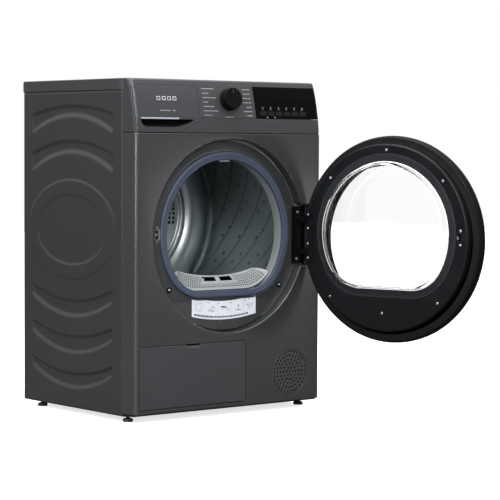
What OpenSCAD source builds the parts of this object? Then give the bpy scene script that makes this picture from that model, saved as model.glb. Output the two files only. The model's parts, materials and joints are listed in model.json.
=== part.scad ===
// Heat-pump clothes dryer, front loading, drawn in millimetres.
// Origin on the floor under the middle of the cabinet, front towards -Y, up +Z.

/* [Cabinet] */
// cabinet width over the side panels
cab_w = 596; // [500:1:700]
// height from the floor to the top of the lid
cab_h = 845; // [800:1:900]
// thickness of the top panel's edge
top_t = 28.7; // [20:0.1:40]
// sheet thickness of the steel panels
sheet = 1.2; // [0.6:0.1:2]
// depth of the pressings in the side panels
emboss = 3; // [1:0.5:5]

/* [Control panel] */
// height of the seam between front panel and fascia
seam_z = 712; // [680:1:740]
// wall thickness of the moulded fascia
fascia_t = 5; // [4:0.5:8]
// selector knob radius
knob_r = 28; // [20:1:35]
// how far the knob stands out
knob_len = 25; // [15:1:35]

/* [Door] */
// how far the door stands open at rest, in degrees
door_open = 105.9; // [0:0.1:119]
// radius of the door's outer rim
door_r = 261; // [240:1:270]
// radius of the raised inner frame
inner_r = 235.7; // [220:0.1:242]
// radius of the pressed recess in the front panel
recess_r = 244; // [240:1:255]
// depth of that recess
recess_d = 24; // [15:1:35]

/* [Drum] */
// outer radius of the drum shell
drum_r = 278; // [250:1:284]
// height of the drum's axis
drum_z = 496; // [450:1:520]
// drum depth, front edge to rear edge
drum_len = 385; // [300:1:400]

/* [Hidden] */
$fn = 48;
eps = 0.01;
gap = 0.3;
hw = cab_w / 2;
front_y = -250;
side_seam_y = -194.6;
side_back_y = 245;
lid_front_y = -200.3;
lid_back_y = 252.5;
lid_z = cab_h - top_t;
side_z0 = 14.7;
front_z0 = 21.8;
corner_r = 12;
floor_y = front_y + recess_d;
recess_z = 454;
port_z = 459;
port_r = 187;
port_flat = 315;
hinge_x = 247;
hinge_y = -268.9;
hinge_z = 449;
arm_dz = 41;
pin_r = 3;
knuckle_r = 6.5;
frame_z = 447.2;
inner_z = 452.2;
glass_z = 462;
plate_y = -231.8;
rim_back_y = -253;
drum_y0 = -185;
drum_y1 = drum_y0 + drum_len;
shaft_r = 12;
run = 0.05;
ring_h = 1.6;
flap_x0 = -288;
flap_x1 = 50;
flap_z0 = 31.2;
flap_z1 = 188;
flap_axis = [-247.2, 35];
grille_x = 197;
grille_z = 98;
grille_r = 57;
grille_pitch = 10.3;
grille_hole_r = 2.8;
cover_sag_r = 457;
foot_x = 276;
foot_y = 190;
foot_r = 13;
foot_boss_r = 18;
motor_x = 190;
motor_z = 110;
pulley_r = 9;
belt_y = 30;
belt_w = 10;
knob_x = -1.5;
knob_z = 796;
knob_y = -236.9;
knob_tilt = 78.8;
roller_r = 30;
roller_a = 40;
roller_shaft_r = 5.4;
idler_r = 12;

// ---------- shared shapes ----------

// a cylinder along +Y from y0 to y1
module rod_y(r, x, z, y0, y1, fn = 64) {
  translate([x, y0, z]) rotate([-90, 0, 0]) cylinder(r = r, h = y1 - y0, $fn = fn);
}

// a box from one corner to the opposite one
module span(a, b) {
  translate(a) cube(b - a);
}

// a flat outline drawn in X and Z, thickened from y0 to y1
module slab_y(y0, y1) {
  translate([0, y1, 0]) rotate([90, 0, 0]) linear_extrude(y1 - y0) children();
}

// a flat outline drawn in Y and Z, thickened from x0 to x1
module slab_x(x0, x1) {
  translate([x0, 0, 0]) rotate([90, 0, 90]) linear_extrude(x1 - x0) children();
}

// rectangle with round corners
module soft_rect(x0, z0, x1, z1, r) {
  translate([x0 + r, z0]) square([x1 - x0 - 2 * r, z1 - z0]);
  translate([x0, z0 + r]) square([x1 - x0, z1 - z0 - 2 * r]);
  for (x = [x0 + r, x1 - r])
    for (z = [z0 + r, z1 - r])
      translate([x, z]) circle(r = r);
}

// points along an arc about a centre
function arc_pts(cx, cz, r, a0, a1, n) =
  [for (i = [0:n]) let (a = a0 + (a1 - a0) * i / n) [cx + r * cos(a), cz + r * sin(a)]];

// the same arc without its first point, to follow another arc
function arc_on(cx, cz, r, a0, a1, n) =
  [for (i = [1:n]) let (a = a0 + (a1 - a0) * i / n) [cx + r * cos(a), cz + r * sin(a)]];

// round outline with a flat bottom and large lower corners
module port(r, z, flat_z) {
  rc = r - 87;
  drop = z - flat_z - rc;
  cx = sqrt(pow(r - rc, 2) - drop * drop);
  turn = atan2(drop, cx);
  polygon(concat(arc_pts(cx, flat_z + rc, rc, -90, -turn, 10), arc_on(0, z, r, -turn, 180 + turn, 72),
    arc_on(-cx, flat_z + rc, rc, 180 + turn, 270, 10)));
}

// ellipse with half axes a and b
module oval(a, b) {
  polygon([for (t = [0:6:354]) [a * cos(t), b * sin(t)]]);
}

// turns the closed door, drawn against the cabinet, into its open rest pose
module door_pose() {
  translate([hinge_x, hinge_y, 0]) rotate([0, 0, door_open]) translate([-hinge_x, -hinge_y, 0]) children();
}

// ---------- base and feet ----------

module base_tray() {
  color("#2a2b2e") difference() {
    union() {
      span([-hw + 3, -236, 17], [hw - 3, 240, 23]);
      for (y = [-236, 236]) span([-hw + 3, y, 17], [hw - 3, y + 4, 54]);
      for (x = [-hw + 3, hw - 7]) span([x, -236, 17], [x + 4, 240, 54]);
      for (x = [-foot_x, foot_x])
        for (y = [-foot_y, foot_y])
          translate([x, y, 14]) cylinder(r = foot_boss_r, h = 26);
      span([91, 52, 22], [105, 58, 72]);
      rod_y(4, 98, 63, 47, 53, 32);
    }
    for (x = [-foot_x, foot_x])
      for (y = [-foot_y, foot_y])
        translate([x, y, 13]) cylinder(r = 5 + gap, h = 30);
  }
}

module feet() {
  color("#1d1e20") for (x = [-foot_x, foot_x])
    for (y = [-foot_y, foot_y]) {
      translate([x, y, 0]) cylinder(r = foot_r, h = 9);
      translate([x, y, 9 - eps]) cylinder(r = 5, h = 27);
    }
}

// ---------- side panels ----------

// height of an arched edge at a place t from 0 to 1 along it
function arch(t, end, mid) = end + (mid - end) * 4 * t * (1 - t);

// arched band between two edges; e grows it on all sides
module band(y0, y1, top_end, top_mid, low_end, low_mid, e) {
  w = y1 - y0 + 2 * e;
  steps = 20;
  polygon(concat(
    [for (i = [0:steps]) let (t = i / steps) [y0 - e + w * t, arch(t, low_end, low_mid) - e]],
    [for (i = [0:steps]) let (t = 1 - i / steps) [y0 - e + w * t, arch(t, top_end, top_mid) + e]]));
}

// the raised ring around the middle of a side panel, in Y and Z
module ring_pressing() {
  translate([25.6, 467.6]) difference() {
    oval(195.5, 126.7);
    oval(150, 86.5);
  }
}

// the arched bands of a side panel, in Y and Z
module pressings(e) {
  band(-158, 207, 759, 781, 705, 749, e);
  band(-158, 207, 660, 693, 608, 657, e);
  band(-158, 207, 326, 290, 290, 242, e);
  band(-158, 207, 231, 199, 196, 149, e);
  band(-158, 207, 137, 104, 106, 60, e);
}

module side_panel() {
  slab_x(-hw - ring_h, -hw + eps) ring_pressing();
  difference() {
    slab_x(-hw, -hw + sheet) translate([side_seam_y + gap, side_z0])
      square([side_back_y - side_seam_y - gap, lid_z - side_z0 - gap]);
    slab_x(-hw - 1, -hw + sheet + 1) pressings(0);
  }
  slab_x(-hw + emboss, -hw + emboss + sheet) pressings(sheet);
  difference() {
    slab_x(-hw + eps, -hw + emboss + sheet / 2) pressings(sheet);
    slab_x(-hw - 1, -hw + emboss + sheet) pressings(0);
  }
  span([-hw + eps, side_back_y - 8, 56], [-hw + 12, side_back_y - 8 + sheet, lid_z - 4]);
}

module side_panel_left() {
  color("#434547") side_panel();
}

module side_panel_right() {
  color("#434547") mirror([1, 0, 0]) side_panel();
}

// ---------- front panel ----------

// plan outline of the wrapped front sheet, e smaller on each face
module wrap_plan(e) {
  translate([-hw + corner_r, front_y + e]) square([cab_w - 2 * corner_r, -front_y + side_seam_y + 10]);
  translate([-hw + e, front_y + corner_r]) square([cab_w - 2 * e, -front_y + side_seam_y]);
  for (s = [-1, 1]) translate([s * (hw - corner_r), front_y + corner_r]) circle(r = corner_r - e);
}

module front_panel() {
  color("#434547") difference() {
    union() {
      difference() {
        translate([0, 0, front_z0]) linear_extrude(seam_z - 1 - front_z0) wrap_plan(0);
        translate([0, 0, 0]) linear_extrude(cab_h) wrap_plan(sheet);
        translate([-hw - 1, side_seam_y - gap, 0]) cube([cab_w + 2, 200, cab_h]);
      }
      slab_y(front_y, floor_y + sheet) {
        translate([0, recess_z]) circle(r = recess_r + sheet, $fn = 128);
        hinge_pocket_outline(sheet);
      }
    }
    slab_y(front_y - 1, floor_y) {
      translate([0, recess_z]) circle(r = recess_r, $fn = 128);
      hinge_pocket_outline(0);
    }
    slab_y(front_y - 1, floor_y + 10) port(port_r + 15, port_z, port_flat - 12);
    span([-221, floor_y - 2, 449], [-209, floor_y + 4, 473]);
    slab_y(front_y - 1, front_y + 8) flap_outline(0, 0);
    rod_y(grille_r + gap, grille_x, grille_z, front_y - 1, front_y + 8);
  }
}

// the recess widens to the right around the hinge
module hinge_pocket_outline(e) {
  translate([200, 372 - e]) square([64 + e, 156 + 2 * e]);
}

module air_grille() {
  color("#36383b") difference() {
    union() {
      rod_y(grille_r, grille_x, grille_z, front_y + 1, front_y + 3.5);
      rod_y(grille_r + 4, grille_x, grille_z, front_y + sheet + 0.1, front_y + 3.5);
    }
    for (ring = [0:5])
      for (k = [0:max(0, 6 * ring - 1)])
        let (r = grille_pitch * ring, a = ring > 0 ? k * 60 / ring : 0)
          rod_y(grille_hole_r, grille_x + r * cos(a), grille_z + r * sin(a), front_y - 1, front_y + 6, 24);
  }
}

module door_gasket() {
  color("#4b5269") difference() {
    union() {
      slab_y(plate_y + 0.5, floor_y - 0.1) port(port_r + 19, port_z, port_flat - 16);
      slab_y(floor_y - 0.2, floor_y + 4) port(port_r + 14, port_z, port_flat - 11);
    }
    slab_y(front_y, floor_y + 10) port(port_r, port_z, port_flat);
  }
}

module door_bumpers() {
  color("#303135") for (s = [-1, 1]) {
    rod_y(7.5, 177.5 * s, 323, floor_y - 2.5, floor_y - 0.1);
    rod_y(4, 177.5 * s, 323, floor_y - 4, floor_y - 2.4);
  }
}

module door_latch() {
  color("#8f9398") difference() {
    span([-224, floor_y - 1.5, 441], [-206, floor_y - 0.1, 481]);
    span([-221, floor_y - 3, 449], [-209, floor_y + 1, 473]);
  }
  color("#8f9398") for (z = [444.5, 477.5]) rod_y(2.2, -215, z, floor_y - 2.6, floor_y - 1.4, 24);
}

module instruction_label() {
  color("#dfe2e6") slab_y(floor_y - 0.5, floor_y - 0.1) intersection() {
    difference() {
      translate([-3, 730]) circle(r = 488, $fn = 192);
      translate([-3, 730]) circle(r = 441.2, $fn = 192);
    }
    translate([-106, 200]) square([206, 110]);
  }
}

// ---------- hinge ----------

module hinge_arm(z0, z1) {
  translate([0, 0, z0]) linear_extrude(z1 - z0) {
    polygon([[230, floor_y - 1], [254, floor_y - 1], [hinge_x + knuckle_r, hinge_y], [hinge_x - knuckle_r, hinge_y]]);
    translate([hinge_x, hinge_y]) circle(r = knuckle_r);
  }
}

module hinge_bracket() {
  color("#17181a") difference() {
    union() {
      span([218, floor_y - 2.2, 375], [262.5, floor_y - 0.1, 525]);
      for (z = [hinge_z - arm_dz, hinge_z + arm_dz]) hinge_arm(z - 8, z + 8);
    }
    for (z = [hinge_z - arm_dz, hinge_z + arm_dz])
      translate([hinge_x, hinge_y, z - 9]) cylinder(r = pin_r, h = 18);
  }
}

module hinge_pins() {
  color("#9da1a6") for (s = [-1, 1])
    translate([hinge_x, hinge_y, hinge_z + s * arm_dz - 8 - (s > 0 ? 15 : 0)]) cylinder(r = pin_r, h = 31);
}

module bracket_screws() {
  color("#b4b7bb") for (p = [[238, 509], [235, 388]])
    rod_y(4, p[0], p[1], floor_y - 4.2, floor_y - 2.2, 24);
}

module hinge_leaf() {
  color("#17181a") door_pose() difference() {
    union() {
      difference() {
        span([208, plate_y - 2, 384], [238, plate_y - 0.1, 515]);
        for (s = [-1, 1])
          span([215, plate_y - 3, hinge_z + s * arm_dz - 9.5], [240, plate_y + 1, hinge_z + s * arm_dz + 9.5]);
      }
      for (z = [418.4, 465]) {
        translate([0, 0, z]) linear_extrude(14.6) {
          polygon([[226, plate_y - 1], [238, plate_y - 1], [hinge_x + knuckle_r, hinge_y], [hinge_x - 6, hinge_y]]);
          translate([hinge_x, hinge_y]) circle(r = knuckle_r);
        }
      }
    }
    translate([hinge_x, hinge_y, 400]) cylinder(r = pin_r + run, h = 100);
  }
}

// ---------- door ----------

module door_ring_profile() {
  polygon([[197, -293], [238, -294], [250, -288], [258, -280], [door_r, -272], [door_r, -263], [255, rim_back_y],
    [238, rim_back_y], [238, -257], [254, -259], [257, -272], [248, -283], [237, -289], [205, -288], [205, -268],
    [200.9, -268], [200.9, -287.8], [197, -287.8]]);
}

module door_outer_frame() {
  color("#1c1d1f") door_pose() difference() {
    translate([0, 0, frame_z]) rotate([90, 0, 0]) mirror([0, 0, 1]) rotate_extrude($fn = 128) door_ring_profile();
    span([222, -286, 397], [270, -245, 501]);
  }
}

module door_window() {
  color("#c9d2d6", 0.35) door_pose() rod_y(200.5, 0, frame_z, -287.5, -283.5, 128);
}

module door_inner_frame() {
  color("#1a1b1d") door_pose() difference() {
    rod_y(inner_r, 0, inner_z, rim_back_y, plate_y, 128);
    rod_y(inner_r - 3, 0, inner_z, rim_back_y - 1, plate_y - 5.5, 128);
    slab_y(rim_back_y - 2, plate_y + 2) port(184, glass_z, 319);
    slab_y(plate_y - 3.4, plate_y + 2) port(204, glass_z, 301);
    for (s = [-1, 1])
      span([213, rim_back_y - 1, hinge_z + s * arm_dz - 9.5], [240, plate_y + 1, hinge_z + s * arm_dz + 9.5]);
    span([206.5, plate_y - 2.2, 383], [240, plate_y + 1, 516]);
    span([223, rim_back_y - 1, 416], [240, plate_y + 1, 482]);
    span([-217, plate_y - 9, 450], [-208, plate_y + 1, 466]);
  }
}

module door_bowl() {
  color("#c9d2d6", 0.35) door_pose() {
    difference() {
      slab_y(plate_y - 3.3, plate_y - 1.2) port(202.5, glass_z, 302.5);
      slab_y(plate_y - 4, plate_y) port(176, glass_z, 327);
    }
    difference() {
      slab_y(plate_y - 3.3, -213.5) port(180, glass_z, 325);
      slab_y(plate_y - 4, -217) port(176, glass_z, 329);
    }
  }
}

module bowl_ring() {
  color("#2b2d31") door_pose() difference() {
    slab_y(plate_y - 1.1, plate_y - 0.1) port(202, glass_z, 303);
    slab_y(plate_y - 2, plate_y + 1) port(182, glass_z, 323);
  }
}

module door_hook() {
  color("#a8acb0") door_pose() {
    span([-222, plate_y - 8.2, 436], [-203, plate_y - 5.6, 480]);
    span([-214, plate_y - 6, 454], [-212, plate_y + 13, 462]);
    span([-216.5, plate_y + 10, 454], [-212, plate_y + 13, 462]);
  }
}

module door_screws() {
  color("#b4b7bb") door_pose() {
    for (p = [[-2, 672], [163, 600], [-165, 597], [162, 298], [-152, 295], [7, 262], [-215, 475.2], [-215, 440.5]])
      rod_y(3.6, p[0], p[1], plate_y + 0.05, plate_y + 1.4, 24);
    for (z = [505, 469.5, 430.5, 394]) rod_y(3.2, 230.8, z, plate_y, plate_y + 1.4, 24);
  }
}

// ---------- top and rear ----------

module top_panel() {
  color("#46484b") difference() {
    span([-hw - 2, lid_front_y, lid_z], [hw + 2, lid_back_y, cab_h]);
    span([-hw + 14, lid_front_y + 16, lid_z - 1], [hw - 14, lid_back_y - 16, cab_h - 16]);
  }
}

module rear_panel() {
  color("#9a9da0") difference() {
    span([-hw + 1.5, side_back_y - 1.8, side_z0 + 10], [hw - 1.5, side_back_y - 0.6, lid_z - 1]);
    rod_y(20.5, 0, drum_z, 200, 260);
    rod_y(14.5, 240, 700, 200, 260);
    rod_y(13.5, -250, 90, 200, 260);
  }
}

module rear_bearing() {
  color("#55585c") difference() {
    union() {
      rod_y(20, 0, drum_z, 222, 246);
      rod_y(36, 0, drum_z, 238, 243);
    }
    rod_y(shaft_r + run, 0, drum_z, 221, 241);
  }
}

module rear_duct() {
  color("#6f7377") difference() {
    union() {
      rod_y(268, 0, drum_z, 206, 242.8, 128);
      span([-262, 206, 205], [-40, 242.8, drum_z]);
    }
    rod_y(265, 0, drum_z, 205, 239.8, 128);
    span([-259, 205, 208], [-43, 239.8, drum_z]);
    rod_y(36.5, 0, drum_z, 200, 250);
  }
}

module drain_spigot() {
  color("#2a2b2e") difference() {
    union() {
      rod_y(13, -250, 90, 236, 243.8);
      rod_y(9, -250, 90, 243, 251.8);
    }
    rod_y(6, -250, 90, 240, 260);
  }
}

module mains_inlet() {
  color("#1d1e20") difference() {
    union() {
      rod_y(14, 240, 700, 236, 246);
      rod_y(18, 240, 700, 244.6, 248);
    }
    rod_y(5, 240, 700, 230, 260);
  }
}

// ---------- control panel ----------

// side outline of the fascia, moved back by b and lowered by b
module fascia_outline(b) {
  polygon([[-249 + b, seam_z + 1.5 - 50 * sign(b)], [-246 + b, 749], [-235.6 + b, 801], [-228 + b, 827],
    [-224.5 + b, 838 - b / 2], [-220 + b, 843 - b], [-216 + b, cab_h - b], [-200.8 + 60 * sign(b), cab_h - b],
    [-200.8 + 60 * sign(b), lid_z - gap], [side_seam_y - gap + 60 * sign(b), lid_z - gap],
    [side_seam_y - gap + 60 * sign(b), seam_z + 1.5 - 50 * sign(b)]]);
}

module fascia_body() {
  intersection() {
    slab_x(-hw, hw) fascia_outline(0);
    translate([0, -253.6, seam_z]) rotate([-11.1, 0, 0]) translate([0, 250, -60])
      linear_extrude(260) wrap_plan(0);
  }
}

// the skin of the fascia between two depths, inside an outline in X and Z
module fascia_skin(d0, d1) {
  intersection() {
    difference() {
      translate([0, d0, 0]) fascia_body();
      translate([0, d1, 0]) slab_x(-hw - 9, hw + 9) polygon([[-249, 600], [-249, seam_z + 1.5], [-246, 749],
        [-235.6, 801], [-228, 827], [-224.5, 838], [-220, 843], [-216, cab_h], [-100, cab_h], [-100, 600]]);
    }
    slab_y(-260, -190) children();
  }
}

module drawer_outline(e) {
  polygon([[-293.5 + e, seam_z + 2], [-168 - e, seam_z + 2], [-101 - e, 741 + e], [-97.5 - e, 750], [-94.3 - e, 831 - e],
    [-293.5 + e, 831 - e]]);
}

module panel_outline(e) {
  polygon([[-95.5 + e, 750 + e], [83 - e, 750 + e], [83 - e, 831 - e], [-92.3 + e, 831 - e]]);
}

module display_outline(e) {
  polygon([[84 + e, 750 + e], [hw + 2, 750 + e], [hw + 2, 831 - e], [84 + e, 831 - e]]);
}

module fascia_frame() {
  color("#414346") difference() {
    fascia_body();
    slab_x(-hw + 3.5, hw - 3.5) fascia_outline(fascia_t);
    slab_y(-262, -180) drawer_outline(0);
    fascia_skin(-1, 2.2) union() {
      panel_outline(0);
      display_outline(0);
    }
    translate([knob_x, knob_y, knob_z]) rotate([knob_tilt, 0, 0]) cylinder(r = 9, h = 40, center = true);
  }
}

module programme_panel() {
  color("#45474a") difference() {
    fascia_skin(0.1, 2.1) panel_outline(0.3);
    translate([knob_x, knob_y, knob_z]) rotate([knob_tilt, 0, 0]) cylinder(r = 8, h = 40, center = true);
  }
}

module display_window() {
  color("#0c0d0f") fascia_skin(0, 2.1) display_outline(0.2);
}

module control_board() {
  color("#2f6b45") {
    span([-70, -212, 752], [280, -210, 806]);
    span([-30, -210, 780], [26, -200, 804]);
    span([110, -210, 760], [180, -198, 800]);
    for (x = [-60, 270]) rod_y(3, x, 770, -235.9, -211, 24);
  }
}

module selector_knob() {
  color("#121315") translate([knob_x, knob_y, knob_z]) rotate([knob_tilt, 0, 0]) {
    translate([0, 0, 0.6]) cylinder(r = knob_r, h = 4, $fn = 96);
    translate([0, 0, 4.5]) cylinder(r1 = knob_r - 0.5, r2 = knob_r - 1.5, h = knob_len - 6, $fn = 96);
    translate([0, 0, knob_len - 1.6]) cylinder(r = knob_r - 2.5, h = 1.6, $fn = 96);
    translate([-0.8, knob_r - 14, knob_len - 0.4]) cube([1.6, 10, 0.8]);
    translate([0, 0, -22]) cylinder(r = 5, h = 23);
  }
}

// ---------- condensate drawer ----------

module grip_outline(e) {
  polygon([[-281 + e, 745.5], [-113 - e, 745.5], [-128 - e, 737], [-158 - e, 729 + e], [-180, 726 + e],
    [-262, 726 + e], [-275 + e, 731 + e]]);
}

module drawer_front() {
  color("#424447") difference() {
    intersection() {
      fascia_body();
      slab_y(-262, -223) drawer_outline(0.8);
    }
    slab_y(-262, -227) grip_outline(0);
    span([-279, -262, 745], [-163, -243, 749.6]);
  }
}

module grip_strip() {
  color("#b7bac0") span([-278.8, -247.6, 745.4], [-163.2, -243.2, 749.2]);
}

module tank_section(e) {
  polygon([[-290.3 + e, 806 - e], [-290.3 + e, 724 + e], [-206 - e / 2, 724 + e], [-150 - e / 2, 757 + e],
    [-114 - e, 757 + e], [-114 - e, 806 - e]]);
}

module water_tank() {
  color("#c8ccd0") difference() {
    slab_y(-222.9, 150) tank_section(0);
    slab_y(-221, 148) tank_section(2);
    translate([-250, 120, 795]) cylinder(r = 12, h = 20);
  }
}

module tank_guide() {
  color("#7d8185") difference() {
    slab_y(-196, 156) polygon([[-293.4, 800], [-293.4, 720.5], [-204.6, 720.5], [-149, 753.6], [-110.5, 753.6],
      [-110.5, 800]]);
    slab_y(-197, 153) polygon([[-291.6, 810], [-291.6, 722.6], [-205.2, 722.6], [-149.4, 755.6], [-112.5, 755.6],
      [-112.5, 810]]);
  }
}

// ---------- service flap and lint filter ----------

// flap outline, e smaller at the sides and top and f smaller at the bottom
module flap_outline(e, f) {
  soft_rect(flap_x0 + e, flap_z0 + f, flap_x1 - e, flap_z1 - e, 9 - e);
  soft_rect(flap_x0 + e, flap_z0 + f, flap_x1 - e, flap_z0 + 40, 2);
}

module service_flap() {
  color("#424447") difference() {
    union() {
      slab_y(front_y, front_y + 2) flap_outline(0.8, 1.5);
      difference() {
        slab_y(front_y + 1.9, front_y + 6) soft_rect(flap_x0 + 4, flap_z0 + 10, flap_x1 - 4, flap_z1 - 4, 6);
        slab_y(front_y + 1.8, front_y + 7) soft_rect(flap_x0 + 6, flap_z0 + 12, flap_x1 - 6, flap_z1 - 6, 5);
      }
      for (x = [-240, 0])
        translate([x, flap_axis[0], flap_axis[1]]) rotate([0, 90, 0]) cylinder(r = 2, h = 20, $fn = 32);
    }
    slab_y(front_y - 1, front_y + 1.2) soft_rect(-142, flap_z1 - 6, -97, flap_z1 + 6, 2.4);
  }
}

module filter_cover(w) {
  slab_x(-w, w) polygon([[-212, 318], [-208, 316], [-186.8, 362], [-186.8, 368.5]]);
}

module lint_filter() {
  color("#9ea2a5") {
    difference() {
      intersection() {
        filter_cover(156);
        rod_y(184, 0, port_z, -230, -170, 96);
      }
      rod_y(cover_sag_r, 0, 352.5 + cover_sag_r, -230, -170, 256);
      for (x = [-46, 8]) span([x, -220, 333], [x + 36, -180, 347]);
    }
    difference() {
      span([-112, -207, 190], [112, -193, 323]);
      span([-109, -205, 187], [109, -195, 312]);
      for (x = [-46, 8]) span([x, -209, 316], [x + 36, -190, 330]);
    }
  }
}

module filter_duct() {
  color("#74787c") difference() {
    span([-122, -221.5, 172.5], [122, -188, 312]);
    span([-115, -210, 175], [115, -191, 313]);
    span([-100, -192, 175], [0, -187, 190]);
  }
}

module front_bulkhead() {
  color("#a3a6a8") difference() {
    union() {
      span([-hw + 4, -221.3, 225], [hw - 4, -218.3, 719]);
      translate([0, -218.4, port_z]) rotate([-90, 0, 0]) cylinder(r1 = 190.5, r2 = 194, h = 31, $fn = 96);
      rod_y(262, 0, drum_z, -190.3, -187.4, 128);
    }
    translate([0, -219.4, port_z]) rotate([-90, 0, 0]) cylinder(r1 = 187.3, r2 = 191, h = 33, $fn = 96);
    slab_y(-223, -217) port(port_r, port_z, port_flat);
    span([-125, -217.9, 100], [125, -150, 352]);
    span([-141, -217.9, 300], [141, -150, 366]);
    span([-123, -224, 100], [123, -150, 312.4]);
    span([-221, -224, 449], [-209, -212, 473]);
    for (s = [-1, 1])
      rod_y(roller_shaft_r + run, s * 308.5 * sin(roller_a), drum_z - 308.5 * cos(roller_a), -224, -210, 24);
  }
}

module drum_light() {
  color("#f2f4f5") span([-6, -215.5, 642.4], [24, -206, 644.5]);
}

// ---------- drum ----------

module drum_shell() {
  color("#4a5350") difference() {
    rod_y(drum_r, 0, drum_z, drum_y0, drum_y1, 128);
    rod_y(drum_r - 1, 0, drum_z, drum_y0 + 1, drum_y1 + 1, 128);
    rod_y(drum_r - 14, 0, drum_z, drum_y0 - 1, drum_y0 + 2, 128);
  }
}

module wall_profile() {
  polygon([[0, 186], [60, 186], [66, 180], [108, 180], [112, 184], [160, 184], [168, 176], [175, 176], [181, 183],
    [186, 181], [198, 175], [212, 171.8], [228, 171.6], [244, 173.8], [256, 177.4], [263, 182.4], [267, 188],
    [276.8, 188], [276.8, 190], [266, 190], [261.6, 183.8], [255, 179.4], [243.6, 175.8], [228, 173.6],
    [212.4, 173.8], [198.8, 176.9], [186.8, 183], [180.4, 185.2], [174, 178], [169, 178], [161, 186], [111, 186],
    [107, 182], [67, 182], [61, 188], [0, 188]]);
}

module drum_rear_wall() {
  color("#b9bdc0") difference() {
    translate([0, 0, drum_z]) rotate([90, 0, 0]) mirror([0, 0, 1]) rotate_extrude($fn = 96) wall_profile();
    for (a = [0:60:300])
      for (i = [-2:2])
        for (r = [120:13:146])
          rotate_about_drum(a + i * 720 / r) rod_y(3.6, r, 0, 180, 190, 16);
  }
}

module rotate_about_drum(a) {
  translate([0, 0, drum_z]) rotate([0, -a, 0]) children();
}

module drum_baffles() {
  color("#5a6266") for (a = [101, 281])
    rotate_about_drum(a) slab_y(-150, 160)
      polygon([[drum_r - 5, -34], [238, -13], [232, 0], [238, 13], [drum_r - 5, 34]]);
}

module drum_shaft() {
  color("#8d9196") difference() {
    union() {
      rod_y(shaft_r, 0, drum_z, 190, 240);
      rod_y(55, 0, drum_z, 188.05, 192);
    }
    rod_y(2, 0, drum_z, 239, 241, 24);
  }
}

// ---------- drive ----------

// belt outline around both pulleys and their outer tangents, e larger
module belt_loop(e) {
  r1 = drum_r + gap + e;
  r2 = pulley_r + gap + e;
  d = [motor_x, motor_z - drum_z];
  a = atan2(d[1], d[0]);
  b = acos((r1 - r2) / norm(d));
  polygon(concat(arc_pts(0, drum_z, r1, a + b, a - b + 360, 96), arc_pts(motor_x, motor_z, r2, a - b, a + b, 12)));
}

module drive_belt() {
  color("#161718") slab_y(belt_y, belt_y + belt_w) difference() {
    belt_loop(2);
    belt_loop(0);
  }
}

module motor() {
  color("#7b7f83") difference() {
    union() {
      rod_y(48, motor_x, motor_z, -100, 8, 64);
      rod_y(18, motor_x, motor_z, -112, 16, 48);
      span([motor_x - 50, -90, 23.1], [motor_x + 50, -10, 70]);
    }
    rod_y(6 + run, motor_x, motor_z, -120, 20, 48);
  }
}

module motor_rotor() {
  color("#a4a7aa") {
    rod_y(6, motor_x, motor_z, -190, 48, 48);
    rod_y(pulley_r, motor_x, motor_z, 24, 44, 48);
  }
}

module blower_wheel() {
  color("#3a3d40") difference() {
    union() {
      rod_y(66, motor_x, motor_z, -134, -131, 64);
      rod_y(14, motor_x, motor_z, -180, -131, 32);
      for (a = [0:20:340])
        translate([motor_x, 0, motor_z]) rotate([0, a, 0]) span([44, -182, -1.2], [66, -133, 1.2]);
      difference() {
        rod_y(66, motor_x, motor_z, -184, -181.5, 64);
        rod_y(44, motor_x, motor_z, -185, -180, 64);
      }
    }
    rod_y(6, motor_x, motor_z, -190, -120, 48);
  }
}

module blower_housing() {
  color("#5c6064") difference() {
    rod_y(78, motor_x, motor_z, -190, -122, 96);
    rod_y(74, motor_x, motor_z, -187, -125, 96);
    rod_y(42, motor_x, motor_z, -195, -186, 64);
    rod_y(20, motor_x, motor_z, -126, -120, 48);
    span([motor_x - 90, -180, motor_z + 20], [motor_x - 50, -132, motor_z + 60]);
  }
}

// where the idler touches the outside of the belt's lower run
belt_a = atan2(motor_z - drum_z, motor_x) - acos((drum_r - pulley_r) / norm([motor_x, motor_z - drum_z]));
idler_x = 0.8 * (motor_x + pulley_r * cos(belt_a)) + 0.2 * drum_r * cos(belt_a)
  + (idler_r + 2 + 2 * gap) * cos(belt_a);
idler_z = 0.8 * (motor_z + pulley_r * sin(belt_a)) + 0.2 * (drum_z + drum_r * sin(belt_a))
  + (idler_r + 2 + 2 * gap) * sin(belt_a);

module tensioner_arm() {
  color("#8d9196") difference() {
    union() {
      slab_y(48, 51) {
        polygon([[89.5, 66], [106.5, 60], [idler_x + 8.5, idler_z - 3], [idler_x - 8.5, idler_z + 3]]);
        translate([98, 63]) circle(r = 9);
        translate([idler_x, idler_z]) circle(r = 9);
      }
      rod_y(4, idler_x, idler_z, 26, 49, 32);
    }
    rod_y(4 + run, 98, 63, 40, 60, 32);
  }
}

module tensioner_pulley() {
  color("#2f3134") difference() {
    rod_y(idler_r, idler_x, idler_z, 28, 44, 48);
    rod_y(4 + run, idler_x, idler_z, 20, 50, 32);
  }
}

module support_roller(s) {
  x = s * 308.5 * sin(roller_a);
  z = drum_z - 308.5 * cos(roller_a);
  color("#26272a") {
    rod_y(roller_r, x, z, -180, -162, 64);
    rod_y(roller_shaft_r, x, z, -221, -150, 24);
  }
}

// ---------- heat pump ----------

module exchanger_cover() {
  color("#3c3f43") {
    span([-270, -222, 50], [-4, -218, 172]);
    span([-262, -218.1, 56], [-12, -206, 166]);
  }
}

module fins(x0, x1, y0, y1, z0, z1, n) {
  for (i = [0:n - 1]) span([x0, y0 + i * (y1 - y0) / n, z0 + 3], [x1, y0 + i * (y1 - y0) / n + 2, z1 - 3]);
  span([x0, y0, z0], [x1, y1, z0 + 3.1]);
  span([x0, y0, z1 - 3.1], [x1, y1, z1]);
  span([x0, y0, z0], [x0 + 2, y1, z1]);
  span([x1 - 2, y0, z0], [x1, y1, z1]);
}

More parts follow.
